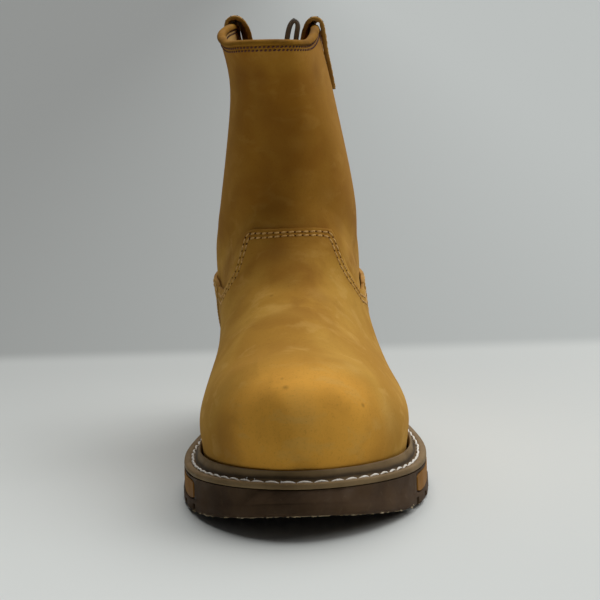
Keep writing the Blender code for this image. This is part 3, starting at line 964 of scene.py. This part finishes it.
def even_steps(
    points: Sequence[Vector], pitch: float, shift: float = 0.0
) -> list[tuple[Vector, Vector]]:
    """Places at even steps along a line.

    Args:
        points: Points of the line, in metres.
        pitch: Step, in millimetres.
        shift: Start along the line, as a share of the step.

    Returns:
        Each place with the direction of the line there.
    """
    spots = np.array([tuple(p) for p in points])
    run = np.concatenate([[0.0], np.cumsum(np.linalg.norm(np.diff(spots, axis=0), axis=1))])
    count = max(int(run[-1] / (pitch * MM)), 1)
    step = run[-1] / count

    def at(reach: float) -> Vector:
        """Place at a reach along the line."""
        return Vector([np.interp(reach, run, spots[:, axis]) for axis in range(3)])

    found = []
    for k in range(count):
        middle = (k + 0.5 + shift) * step
        along = at(middle + step * 0.5) - at(middle - step * 0.5)
        found.append((at(middle), along.normalized()))
    return found


def upright(place: Vector, along: Vector, normal: Vector) -> Matrix:
    """Frame at a place with X along a line and Z along a normal.

    Args:
        place: Origin of the frame.
        along: Rough X direction.
        normal: Z direction.

    Returns:
        The frame.
    """
    side = normal.cross(along).normalized()
    ahead = side.cross(normal).normalized()
    frame = Matrix((ahead, side, normal)).transposed().to_4x4()
    frame.translation = place
    return frame


@dataclass(frozen=True)
class Stitch:
    """Sizes of the stitches of one kind of seam."""

    pitch: float
    length: float
    width: float
    rise: float
    bow: float = 0.0
    bow_top: float = 0.9
    slant: float = 0.0
    holes: bool = True
    hole_length: float = 0.6
    hole_rise: float = 0.14

    def pattern(self) -> bpy.types.Mesh:
        """One stitch at the origin with X along the seam; thread has material 0 and the dark needle-hole
        blobs of painted shade 1.

        Returns:
            The stitch as mesh data.
        """
        mesh = bmesh.new()
        thread = bmesh.ops.create_uvsphere(mesh, u_segments=8, v_segments=8, radius=1.0)["verts"]
        lie = Matrix.Rotation(math.pi / 2, 3, "Y")
        bmesh.ops.rotate(mesh, verts=thread, cent=(0, 0, 0), matrix=lie)
        size = Vector((self.length / 2, self.width / 2, self.rise)) * MM
        bmesh.ops.scale(mesh, vec=size, verts=thread)
        for vert in thread:
            share = vert.co.x / size.x
            vert.co.z += self.bow * MM * (self.bow_top - share * share)
        lean = Matrix.Rotation(math.radians(self.slant), 3, "Z")
        bmesh.ops.rotate(mesh, verts=thread, cent=(0, 0, 0), matrix=lean)
        # Painted shade: dark flat blobs at both ends stand for the needle holes.
        for end in (-0.5, 0.5) if self.holes else ():
            offset = Matrix.Translation((end * self.pitch * MM, 0.0, 0.0))
            flat = Matrix.Diagonal(
                (self.hole_length * MM, 0.5 * self.width * MM, self.hole_rise * MM, 1.0)
            )
            made = bmesh.ops.create_uvsphere(
                mesh, u_segments=6, v_segments=4, radius=1.0, matrix=offset @ flat
            )
            for face in {f for v in made["verts"] for f in v.link_faces}:
                face.material_index = 1
        data = bpy.data.meshes.new("stitch")
        mesh.to_mesh(data)
        mesh.free()
        return data

    def sew(
        self, mesh: bmesh.types.BMesh, line: Sequence[Vector], probe: Probe, shift: float = 0.0
    ) -> None:
        """Lay stitches along a line on a surface, short of the ends of an open line.

        Args:
            mesh: Bmesh that takes the stitches.
            line: Points near the surface, in metres.
            probe: Surface that is sewn.
            shift: Start of the row along the line, as a share of the pitch.
        """
        pattern = self.pattern()
        steps = even_steps(line, self.pitch, shift)
        if (line[0] - line[-1]).length > self.pitch * MM:
            steps = steps[1:-1]
        for place, along in steps:
            spot, normal = probe.settle(place)
            stitch = pattern.copy()
            stitch.transform(upright(spot, along, normal))
            mesh.from_mesh(stitch)
            bpy.data.meshes.remove(stitch)
        bpy.data.meshes.remove(pattern)


@dataclass
class Leathers:
    """Hollow upper with its vamp and counter overlays, their folds and their seams."""

    folds: tuple[Fold, ...] = (
        Fold(View.FRONT, (-32.0, 104.0), (-8.0, 101.0), (20.0, 104.0), 9.0, -1.3),
        Fold(View.FRONT, (-24.0, 90.0), (0.0, 91.0), (22.0, 88.0), 8.0, 0.5),
        Fold(View.FRONT, (-20.0, 121.0), (-15.0, 114.0), (-8.0, 108.0), 8.0, -0.7),
        Fold(View.FRONT, (9.0, 119.0), (8.0, 112.0), (6.0, 106.0), 7.0, 0.5),
        Fold(View.FRONT, (-20.0, 204.0), (-15.0, 176.0), (-20.0, 138.0), 11.0, -1.0),
        Fold(View.FRONT, (-3.0, 198.0), (1.0, 170.0), (-3.0, 138.0), 10.0, 0.6),
        Fold(View.FRONT, (12.0, 200.0), (14.0, 175.0), (10.0, 144.0), 9.0, -0.5),
        Fold(View.FRONT, (-24.0, 158.0), (-10.0, 163.0), (6.0, 157.0), 8.0, 0.5),
        Fold(View.TOP, (-34.0, -100.0), (0.0, -112.0), (32.0, -100.0), 7.0, 0.6),
        Fold(View.TOP, (-33.0, -82.0), (0.0, -92.0), (30.0, -80.0), 8.0, -0.6),
        Fold(View.TOP, (-30.0, -58.0), (-4.0, -66.0), (26.0, -56.0), 9.0, 0.5),
        Fold(View.TOP, (-26.0, -34.0), (0.0, -40.0), (22.0, -34.0), 9.0, -0.5),
        Fold(View.LATERAL, (34.0, 118.0), (52.0, 108.0), (80.0, 116.0), 8.0, -0.5),
        Fold(View.LATERAL, (84.0, 132.0), (100.0, 122.0), (120.0, 131.0), 8.0, -0.9),
        Fold(View.LATERAL, (86.0, 150.0), (104.0, 140.0), (122.0, 149.0), 9.0, -0.8),
        Fold(View.LATERAL, (100.0, 205.0), (104.0, 182.0), (100.0, 160.0), 10.0, -0.7),
        Fold(View.MEDIAL, (32.0, 120.0), (50.0, 110.0), (76.0, 117.0), 8.0, -0.5),
        Fold(View.MEDIAL, (80.0, 133.0), (98.0, 122.0), (118.0, 130.0), 8.0, -0.9),
        Fold(View.MEDIAL, (84.0, 152.0), (100.0, 141.0), (118.0, 148.0), 9.0, -0.8),
        Fold(View.MEDIAL, (98.0, 205.0), (95.0, 182.0), (100.0, 160.0), 10.0, -0.7),
        Fold(View.BACK, (-22.0, 138.0), (-4.0, 129.0), (16.0, 137.0), 7.0, -1.3),
        Fold(View.BACK, (-23.0, 161.0), (-5.0, 150.0), (18.0, 158.0), 9.0, -1.0),
        Fold(View.BACK, (-20.0, 149.0), (-5.0, 140.0), (15.0, 147.0), 6.0, 0.6),
    )
    vamp_rows: tuple[float, float] = (1.9, 3.9)
    vamp_above: float = 85.5
    side_widen: float = 0.9
    counter_rows: tuple[float, float] = (2.0, 4.2)
    counter_above: float = 46.0
    collar_rows: tuple[float, float] = (1.6, 3.4)
    collar_above: float = 190.0
    row_shift: float = 0.45
    sewn_runs: int = 2
    heel_from: float = 108.0
    heel_below: float = 64.0
    heel_rounds: int = 30
    heel_ease: tuple[float, float] = (0.5, -0.52)
    downward: float = -0.9
    seam: Stitch = Stitch(pitch=3.9, length=3.0, width=1.2, rise=0.5, slant=8.0)
    collar_seam: Stitch = Stitch(
        pitch=2.4, length=1.8, width=1.15, rise=0.4, slant=22.0, holes=False
    )
    pieces: dict[str, bpy.types.Object] = field(default_factory=dict)
    edges: dict[str, list[Border]] = field(default_factory=dict)

    def build(self, frame: dict, shades: Shades, probe: Probe) -> None:
        """Build the three leather forms and fold them together.

        Args:
            frame: Loaded frame.
            shades: Materials.
            probe: Packed leather nodes.
        """
        plans = (
            ("upper", "upper_leather", "nubuck", shades.lining, self.collar_above),
            ("vamp", "vamp_overlay", "nubuck", shades.cut_edge, self.vamp_above),
            ("counter", "counter_overlay", "counter_nubuck", shades.cut_edge, self.counter_above),
        )
        for node, name, slot, back, above in plans:
            copy = Refined(node, widen=self.side_widen if node == "vamp" else 0.0).open(frame)
            if node == "counter":
                self.ease_heel(copy.mesh)
            outer = copy.mark_skins()
            self.edges[node] = copy.borders(outer, above)
            if node == "upper":
                inner = [f for f in copy.mesh.faces if f.material_index == Skin.INNER.value]
                self.edges["lining"] = copy.borders(inner, above)
            self.pieces[node] = copy.finish(name, (shades.nubuck, back, shades.cut_edge), slot)
        fold_field = FoldField(self.folds, probe, self.pieces["upper"])
        for made in self.pieces.values():
            fold_field.press(made)

    def ease_heel(self, mesh: bmesh.types.BMesh) -> None:
        """Even out the counter's lower heel above its lower edge, in and out so that it keeps its size.

        Args:
            mesh: Copy of the counter.
        """
        mesh.normal_update()
        inside = [
            vert
            for vert in mesh.verts
            if vert.co.y > self.heel_from * MM
            and vert.co.z < self.heel_below * MM
            and all(face.normal.z > self.downward for face in vert.link_faces)
        ]
        for turn in range(self.heel_rounds):
            moves = []
            for vert in inside:
                ring = [edge.other_vert(vert).co for edge in vert.link_edges]
                middle = sum(ring, Vector()) / len(ring)
                moves.append((middle - vert.co) * self.heel_ease[turn % 2])
            for vert, move in zip(inside, moves):
                vert.co += move
        mesh.normal_update()

    def sew(self, shades: Shades) -> None:
        """Sew the overlays' edges and the collar.

        Args:
            shades: Materials.
        """
        collar = (self.collar_rows, self.collar_seam, shades.brown_thread)
        plans = (
            ("vamp", "vamp", "vamp_stitches", self.vamp_rows, self.seam, shades.tan_thread),
            ("counter", "counter", "counter_stitches", self.counter_rows, self.seam, shades.tan_thread),
            ("upper", "upper", "collar_stitches", *collar),
            ("lining", "upper", "lining_stitches", *collar),
        )
        for edge, carrier, name, rows, stitch, thread in plans:
            probe = Probe([self.pieces[carrier]])
            mesh = bmesh.new()
            for border in self.edges[edge][: self.sewn_runs]:
                for rank, row in enumerate(rows):
                    stitch.sew(mesh, border.inset(row), probe, self.row_shift * rank)
            place_piece(mesh, name, (thread, shades.needle_hole_shade))


@dataclass
class Collar:
    """Rolled edge, two pull straps and the woven tape loop."""

    lip_share: float = 0.25
    tape_loft: float = 0.45
    tuck_below: float = 219.0
    tuck_over: float = 20.0
    tuck_by: float = 1.0
    tuck_share: float = 0.5
    turn_by: float = 6.6
    turn_rate: float = 1.6
    strap_row: float = 2.6
    strap_seam: Stitch = Stitch(pitch=3.8, length=2.9, width=0.9, rise=0.36)

    def build(self, frame: dict, shades: Shades, rim: Sequence[Border]) -> None:
        """Build the roll, the straps with their stitches, and the tape.

        Args:
            frame: Loaded frame.
            shades: Materials.
            rim: Upper edge of the leather under the roll.
        """
        roll = Refined("collar_binding", sharp=70.0).open(frame)
        self.tighten(roll.mesh, [point for border in rim for point in border.points])
        roll.finish("collar_roll", (shades.binding,), "binding_leather")
        for word, side in (("medial", -1), ("lateral", 1)):
            copy = Refined("pull_strap_" + word, sharp=52.0, crease=0.6).open(frame)
            self.settle_strap(copy.mesh, side)
            copy.mark_skins()
            edges = [copy.borders(patch)[0] for patch in copy.patches()[:2]]
            materials = (shades.strap, shades.strap, shades.strap_edge)
            strap = copy.finish("pull_strap_leather_" + word, materials, "strap_leather")
            probe = Probe([strap])
            mesh = bmesh.new()
            for border in edges:
                self.strap_seam.sew(mesh, border.inset(self.strap_row), probe)
            threads = (shades.tan_thread, shades.needle_hole_shade)
            place_piece(mesh, "strap_stitches_" + word, threads)
        tape = Refined("tape_loop", sharp=55.0, crease=0.6).open(frame)
        tape.mesh.normal_update()
        for vert in tape.mesh.verts:
            vert.co += vert.normal * self.tape_loft * MM
        tape.finish("woven_tape_loop", (shades.tape,), "woven_tape")

    def settle_strap(self, mesh: bmesh.types.BMesh, side: int) -> None:
        """Draw a strap's outer end to the shaft, and the back of its inner end to the lining.

        Args:
            mesh: Copy of the strap.
            side: Sign of X on the strap's side of the boot.
        """
        outer = max(side * vert.co.x for vert in mesh.verts)
        inner = min(side * vert.co.x for vert in mesh.verts)
        front = min(vert.co.y for vert in mesh.verts)
        back = max(vert.co.y for vert in mesh.verts)
        for vert in mesh.verts:
            depth = (self.tuck_below - vert.co.z / MM) / self.tuck_over
            share = (side * vert.co.x - inner) / (outer - inner)
            if depth > 0.0 and share > self.tuck_share:
                vert.co.x -= side * self.tuck_by * MM * min(depth, 1.0)
            turn = max(0.0, 1.0 - share * self.turn_rate) * (vert.co.y - front) / (back - front)
            vert.co.x += side * self.turn_by * MM * turn

    def tighten(self, mesh: bmesh.types.BMesh, rim: Sequence[Vector]) -> None:
        """Draw the roll's lower lips up towards the leather's edge.

        Args:
            mesh: Copy of the roll.
            rim: Points along the leather's edge, in metres.
        """
        edge = KDTree(len(rim))
        for k, point in enumerate(rim):
            edge.insert(point, k)
        edge.balance()
        for vert in mesh.verts:
            drop = vert.co.z - edge.find(vert.co)[0].z
            if drop < 0.0:
                vert.co.z -= drop * (1.0 - self.lip_share)


@dataclass(frozen=True)
class Fibre:
    """Loose thread end that stands off the welt, placed from the top."""

    across: float
    along: float
    length: float
    lean: float
    bend: float
    forward: float = 0.3
    thick: float = 0.2
    taper: float = 0.85
    overlap: float = 1.1
    steps: int = 4

    def grow(self, mesh: bmesh.types.BMesh, probe: Probe) -> None:
        """Add the fibre as a thin bent tube.

        Args:
            mesh: Bmesh that takes the fibre.
            probe: The welt.
        """
        low = probe.point(View.TOP, self.across, self.along)
        step = self.length / self.steps * MM
        for k in range(self.steps):
            angle = self.lean + self.bend * k / self.steps
            way = Vector((math.sin(angle), -self.forward, math.cos(angle))).normalized()
            bmesh.ops.create_cone(
                mesh,
                cap_ends=True,
                segments=5,
                radius1=self.thick * MM,
                radius2=self.thick * self.taper * MM,
                depth=step * self.overlap,
                matrix=upright(low + way * step / 2, Vector((0.0, 1.0, 0.0)), way),
            )
            low = low + way * step


@dataclass
class Welt:
    """Storm welt ring with the lockstitches in its groove."""

    stitch: Stitch = Stitch(
        pitch=8.0, length=8.6, width=1.35, rise=0.5, bow=1.1, slant=4.0, holes=False
    )
    toe_centre: float = -92.0
    heel_centre: float = 108.0
    stations: int = 60
    reach: float = 72.0
    probe_from: float = 120.0
    probe_step: float = 0.5
    probes: int = 110
    least_hits: int = 8
    rim_from: int = 2
    bead_foot: int = 5
    even_rounds: int = 3
    shade_inset: int = 3
    shade_width: float = 1.35
    shade_parts: int = 4
    fibres: tuple[Fibre, ...] = (
        Fibre(-28.8, -138.0, 1.8, -0.3, 0.9),
        Fibre(-25.4, -141.0, 1.4, 0.5, -0.8),
        Fibre(-20.2, -147.5, 1.6, 0.9, 0.6),
        Fibre(-11.3, -151.0, 1.9, -0.7, -0.6),
        Fibre(-10.4, -151.6, 1.3, 1.2, 0.4),
        Fibre(14.2, -147.0, 1.7, 0.2, 0.7),
    )

    def build(self, frame: dict, shades: Shades) -> None:
        """Build the smooth ring and sew it.

        Args:
            frame: Loaded frame.
            shades: Materials.
        """
        copy = Refined("welt", sharp=75.0, crease=0.4).open(frame)
        ring = copy.finish("storm_welt", (shades.welt,), "welt_rubber")
        probe = Probe([ring])
        # Painted shade along the groove, read by the welt's material.
        self.shade(ring.data, self.groove(probe, self.shade_inset))
        mesh = bmesh.new()
        self.stitch.sew(mesh, self.groove(probe), probe)
        for fibre in self.fibres:
            fibre.grow(mesh, probe)
        place_piece(mesh, "welt_stitches", (shades.white_thread,))

    def rays(self) -> list[tuple[Vector, Vector]]:
        """Find places on the foot's middle line, once around the sole.

        Returns:
            Each place, in millimetres, with the outward way from it.
        """
        found = []
        turns = [k / self.stations for k in range(self.stations)]
        ends = (self.toe_centre, self.heel_centre)
        for sign, centre, other in ((-1, *ends), (1, *reversed(ends))):
            for t in turns:
                angle = math.pi * t
                way = Vector((sign * math.cos(angle), sign * math.sin(angle), 0.0))
                found.append((Vector((0.0, centre, 0.0)), way))
            for t in turns:
                spot = centre + (other - centre) * t
                found.append((Vector((0.0, spot, 0.0)), Vector((-sign, 0.0, 0.0))))
        return found

    def shade(self, mesh: bpy.types.Mesh, line: Sequence[Vector]) -> None:
        """Write how near each point lies to the groove, for the painted shade that the material puts
        there.

        Args:
            mesh: The welt.
            line: Middle of the band of painted shade, in metres.
        """
        path = KDTree(self.shade_parts * len(line))
        for k in range(self.shade_parts * (len(line) - 1)):
            start, part = divmod(k, self.shade_parts)
            path.insert(line[start].lerp(line[start + 1], part / self.shade_parts), k)
        path.balance()
        layer = mesh.attributes.new("groove", "FLOAT", "POINT")
        for k, vert in enumerate(mesh.vertices):
            away = path.find(vert.co)[2] / MM
            layer.data[k].value = math.exp(-((away / self.shade_width) ** 2))

    def groove(self, probe: Probe, inset: int = 0) -> list[Vector]:
        """Lowest line between the rim and the bead, once around the sole.

        Args:
            probe: The welt.
            inset: Probe steps from the lowest line towards the bead.

        Returns:
            Points along the groove, in metres.
        """
        line = []
        lift = Vector((0.0, 0.0, self.probe_from))
        for centre, way in self.rays():
            reaches = [self.reach - self.probe_step * k for k in range(self.probes)]
            hits = [probe.drop((centre + way * reach + lift) * MM) for reach in reaches]
            profile = [hit for hit in hits if hit is not None]
            if len(profile) < self.least_hits:
                continue
            heights = [hit.z for hit in profile]
            top = max(range(len(heights)), key=heights.__getitem__)
            rim_to = max(top - self.bead_foot, self.rim_from + 1)
            rim = max(range(self.rim_from, rim_to), key=heights.__getitem__)
            low = min(range(rim, top + 1), key=heights.__getitem__)
            line.append(profile[min(low + inset, len(profile) - 1)])
        spots = np.array([tuple(p) for p in line])
        for _ in range(self.even_rounds):
            spots = (np.roll(spots, 1, axis=0) + 2 * spots + np.roll(spots, -1, axis=0)) / 4
        smooth = [Vector(p) for p in spots]
        return smooth + smooth[:1]


@dataclass
class Sole:
    """Rubber unit sole, its amber side panels, mould flash and the footbed inside."""

    flash_count: int = 150
    flash_reach: float = 56.0
    flash_lift: tuple[float, float] = (0.1, 1.3)
    flash_size: tuple[float, float] = (0.22, 0.6)
    flash_long: tuple[float, float] = (1.0, 2.6)
    flash_high: float = 0.7
    flash_thick: float = 0.4
    flash_turn: float = 0.6
    probe_step: float = 0.4
    probes: int = 60
    wall_depth: float = 9.0
    seed: int = 7

    def build(self, frame: dict, shades: Shades) -> None:
        """Build the sole's pieces.

        Args:
            frame: Loaded frame.
            shades: Materials.
        """
        copy = Refined("outsole", sharp=32.0, levels=0).open(frame)
        sole = copy.finish("rubber_outsole", (shades.outsole,), "sole_rubber")
        for word in ("medial", "lateral"):
            panel = Refined("side_panel_" + word, sharp=40.0, levels=1, crease=0.8).open(frame)
            panel.finish("amber_panel_" + word, (shades.amber,), "amber_rubber")
        board = Refined("insole", sharp=40.0, levels=1, crease=0.6).open(frame)
        board.finish("footbed", (shades.footbed,), "insole_board")
        self.trim_flash(Probe([sole]), shades)

    def trim_flash(self, probe: Probe, shades: Shades) -> None:
        """Leave small pale bits of mould flash along the bottom edge of the toe.

        Args:
            probe: The outsole.
            shades: Materials.
        """
        chance = random.Random(self.seed)
        mesh = bmesh.new()
        for _ in range(self.flash_count):
            across = chance.uniform(-self.flash_reach, self.flash_reach)
            up = self.low_edge(probe, across) + chance.uniform(*self.flash_lift) ** 2
            spot = probe.point(View.FRONT, across, up)
            size = chance.uniform(*self.flash_size)
            wide = size * chance.uniform(*self.flash_long)
            shape = Matrix.Diagonal(
                (wide * MM, self.flash_thick * MM, size * self.flash_high * MM, 1.0)
            )
            turn = Matrix.Rotation(chance.uniform(-self.flash_turn, self.flash_turn), 4, "Y")
            bmesh.ops.create_icosphere(
                mesh, subdivisions=1, radius=1.0, matrix=Matrix.Translation(spot) @ turn @ shape
            )
        place_piece(mesh, "mould_flash", (shades.flash,))

    def low_edge(self, probe: Probe, across: float) -> float:
        """Height of the toe wall's bottom edge, in millimetres.

        Args:
            probe: The outsole.
            across: Place across the toe, in millimetres.

        Returns:
            The lowest height at which the front wall is met.
        """
        heights = [self.probe_step * k for k in range(1, self.probes)]
        front = [probe.point(View.FRONT, across, up).y for up in heights]
        nearest = min(front)
        return next(up for up, y in zip(heights, front) if y < nearest + self.wall_depth * MM)


class Shades:
    """All the boot's materials."""

    # Small marks are stains on the nap. Larger ones are partly uneven nap and partly painted shade and
    # painted light: dark across the shaft, the ankle and the lower left of the toe, pale in spots on the
    # shaft, the vamp and the right of the toe.
    marks: tuple[Mark, ...] = (
        Mark(-15.3, 97.9, 1.8, -0.8),
        Mark(-10.8, 73.3, 1.6, -0.7),
        Mark(-9.5, 70.3, 2.2, -0.6),
        Mark(27.9, 59.0, 1.8, -0.7),
        Mark(-26.0, 208.0, 21.0, -0.6),
        Mark(-14.0, 185.0, 21.0, -0.45),
        Mark(-4.0, 166.0, 19.0, -0.4),
        Mark(-13.0, 145.0, 19.0, -0.35),
        Mark(-6.0, 128.0, 15.0, -0.25),
        Mark(13.0, 208.0, 15.0, -0.5),
        Mark(22.0, 126.0, 9.0, -0.3),
        Mark(-13.0, 115.0, 15.0, -0.45),
        Mark(-4.0, 104.0, 12.0, -0.3),
        Mark(1.0, 170.0, 8.0, 0.3),
        Mark(5.0, 152.0, 9.0, 0.3),
        Mark(16.0, 143.0, 9.0, 0.35),
        Mark(-38.0, 152.0, 10.0, 0.35),
        Mark(-39.0, 108.0, 9.0, 0.4),
        Mark(26.0, 108.0, 10.0, 0.4),
        Mark(9.0, 97.0, 11.0, 0.45),
        Mark(-12.0, 92.0, 10.0, 0.35),
        Mark(-40.0, 40.0, 24.0, -0.6),
        Mark(-2.0, 60.0, 15.0, 0.3),
        Mark(22.0, 74.0, 10.0, 0.35),
        Mark(41.0, 46.0, 17.0, 0.5),
    )

    def __init__(self, probe: Probe) -> None:
        """Make each material once.

        Args:
            probe: Packed leather nodes, for the marks on the nap.
        """
        self.nubuck = Nubuck(
            "nubuck",
            # Dark tone for stains and fibres, and for the painted shade of the dark patches.
            stain_and_shade=tone(118, 74, 18),
            dark=tone(162, 112, 34),
            plain=tone(182, 132, 44),
            light=tone(196, 148, 58),
            pale=tone(214, 170, 90),
            # Lighter tone for the painted light on the toe's front.
            toe=tone(240, 173, 66),
            # Multiplier for the painted shade on the upper shaft.
            shaft_shade=(0.7, 0.6, 0.42),
            marks=self.marks,
        ).make(probe)
        # Lighter than the nubuck: partly the raw edge's own colour, partly a painted highlight along the
        # raised edges.
        self.cut_edge = SmoothLeather(
            "cut_leather_edge", tone(168, 124, 58), tone(196, 152, 84), roughness=0.8
        ).make()
        self.lining = SmoothLeather(
            "lining_leather", tone(182, 138, 70), tone(206, 164, 96), roughness=0.8
        ).make()
        self.binding = SmoothLeather(
            "binding_leather", tone(124, 84, 18), tone(154, 108, 30), roughness=0.85
        ).make()
        self.strap = SmoothLeather(
            "strap_leather", tone(166, 125, 54), tone(197, 153, 78), roughness=0.85
        ).make()
        self.strap_edge = SmoothLeather(
            "strap_edge", tone(132, 94, 38), tone(164, 122, 56), roughness=0.85
        ).make()
        # Dark tone of the needle-hole blobs: painted shade.
        self.needle_hole_shade = SmoothLeather(
            "needle_hole_shade", tone(86, 50, 14), tone(108, 68, 24), roughness=0.9
        ).make()
        self.outsole = Rubber(
            "outsole_rubber",
            tone(66, 48, 31),
            tone(86, 65, 44),
            tone(124, 106, 82),
            roughness=0.75,
            dusty=0.18,
        ).make()
        self.welt = Rubber(
            "welt_rubber",
            tone(114, 92, 60),
            tone(138, 114, 78),
            tone(144, 124, 92),
            roughness=0.65,
            dusty=0.1,
            # Painted shade along the groove.
            shaded="groove",
        ).make()
        self.amber = Rubber(
            "amber_rubber",
            tone(132, 86, 22),
            tone(158, 108, 34),
            tone(176, 134, 66),
            roughness=0.7,
            dusty=0.08,
        ).make()
        self.flash = Rubber(
            "mould_flash", tone(206, 184, 146), tone(234, 216, 182), tone(246, 236, 214)
        ).make()
        self.tan_thread = Thread(
            "tan_thread", tone(190, 142, 70), tone(224, 178, 102), fuzz=0.04
        ).make()
        self.brown_thread = Thread(
            "brown_thread", tone(66, 28, 8), tone(96, 48, 18), fuzz=0.0
        ).make()
        self.white_thread = Thread(
            "white_thread", tone(236, 230, 216), tone(253, 250, 244), twist=700.0, fuzz=0.5
        ).make()
        self.tape = Weave("woven_tape", tone(62, 58, 52), tone(142, 138, 130), yarns=420.0).make()
        self.footbed = Weave(
            "footbed_cloth", tone(120, 96, 66), tone(168, 142, 104), yarns=260.0, axes=("X", "Y")
        ).make()


@dataclass(frozen=True)
class Lamp:
    """Far soft light: the way it shines, its width in degrees and its watts to the square metre."""

    name: str
    way: Triple
    softness: float
    power: float

    def hang(self) -> None:
        """Add the light to the scene."""
        data = bpy.data.lights.new(self.name, "SUN")
        data.angle = math.radians(self.softness)
        data.energy = self.power
        lamp = bpy.data.objects.new(self.name, data)
        lamp.rotation_euler = Vector(self.way).to_track_quat("-Z", "Y").to_euler()
        bpy.context.scene.collection.objects.link(lamp)


@dataclass
class Studio:
    """Plain pale floor, soft lights and the camera at the photograph's angle."""

    place: Triple = (-9.2, -1150.0, 280.0)
    yaw: float = 0.45
    pitch: float = 9.41
    roll: float = -1.6
    lens: float = 131.46
    sensor: float = 36.0
    clip_from: float = 10.0
    floor_half: float = 14000.0
    air_strength: float = 0.06
    lamps: tuple[Lamp, ...] = (
        Lamp("ceiling_light", (-0.24, -0.5, -1.0), 66.0, 2.85),
        Lamp("right_light", (-1.0, 0.1, -0.95), 40.0, 0.5),
    )

    def build(self) -> None:
        """Set the floor, the lights, the surrounding light and the camera."""
        mesh = bmesh.new()
        bmesh.ops.create_grid(mesh, x_segments=2, y_segments=2, size=self.floor_half * MM)
        data = bpy.data.meshes.new("floor")
        mesh.to_mesh(data)
        mesh.free()
        # The third tone is the painted shade on the left of the floor.
        paper = Paper("pale_paper", tone(212, 215, 212), tone(190, 194, 192), tone(144, 146, 144))
        data.materials.append(paper.make())
        floor = bpy.data.objects.new("floor", data)
        bpy.context.scene.collection.objects.link(floor)
        for lamp in self.lamps:
            lamp.hang()
        world = bpy.data.worlds.new("studio_air")
        world.use_nodes = True
        back = world.node_tree.nodes["Background"]
        back.inputs["Color"].default_value = opaque(tone(226, 229, 232))
        back.inputs["Strength"].default_value = self.air_strength
        bpy.context.scene.world = world
        bpy.context.scene.view_settings.view_transform = "Standard"
        self.aim()

    def aim(self) -> None:
        """Make the camera."""
        yaw, pitch, roll = (math.radians(v) for v in (self.yaw, self.pitch, self.roll))
        level = math.cos(pitch)
        ahead = Vector((math.sin(yaw) * level, math.cos(yaw) * level, -math.sin(pitch)))
        right = Vector((math.cos(yaw), -math.sin(yaw), 0.0))
        up = right.cross(ahead)
        across = right * math.cos(roll) + up * math.sin(roll)
        top = up * math.cos(roll) - right * math.sin(roll)
        data = bpy.data.cameras.new("camera")
        data.sensor_width = self.sensor
        data.lens = self.lens
        data.clip_start = self.clip_from * MM
        camera = bpy.data.objects.new("camera", data)
        matrix = Matrix((across, top, -ahead)).transposed().to_4x4()
        matrix.translation = Vector(self.place) * MM
        camera.matrix_world = matrix
        bpy.context.scene.collection.objects.link(camera)
        bpy.context.scene.camera = camera


def main() -> None:
    """Build the boot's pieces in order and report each."""
    logging.basicConfig(level=logging.INFO, format="%(name)s %(message)s")
    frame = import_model()
    loaded = set(bpy.data.objects)
    skins = Probe([frame["nodes"][name] for name in ("upper", "vamp", "counter")])
    shades = Shades(skins)
    leathers = Leathers()
    leathers.build(frame, shades, skins)
    leathers.sew(shades)
    Collar().build(frame, shades, leathers.edges["upper"])
    Welt().build(frame, shades)
    Sole().build(frame, shades)
    for made in bpy.data.objects:
        if made not in loaded:
            LOG.info("%s: %d faces", made.name, len(made.data.polygons))
    Studio().build()
    LOG.info("boot dressed")


if __name__ == "__main__":
    main()
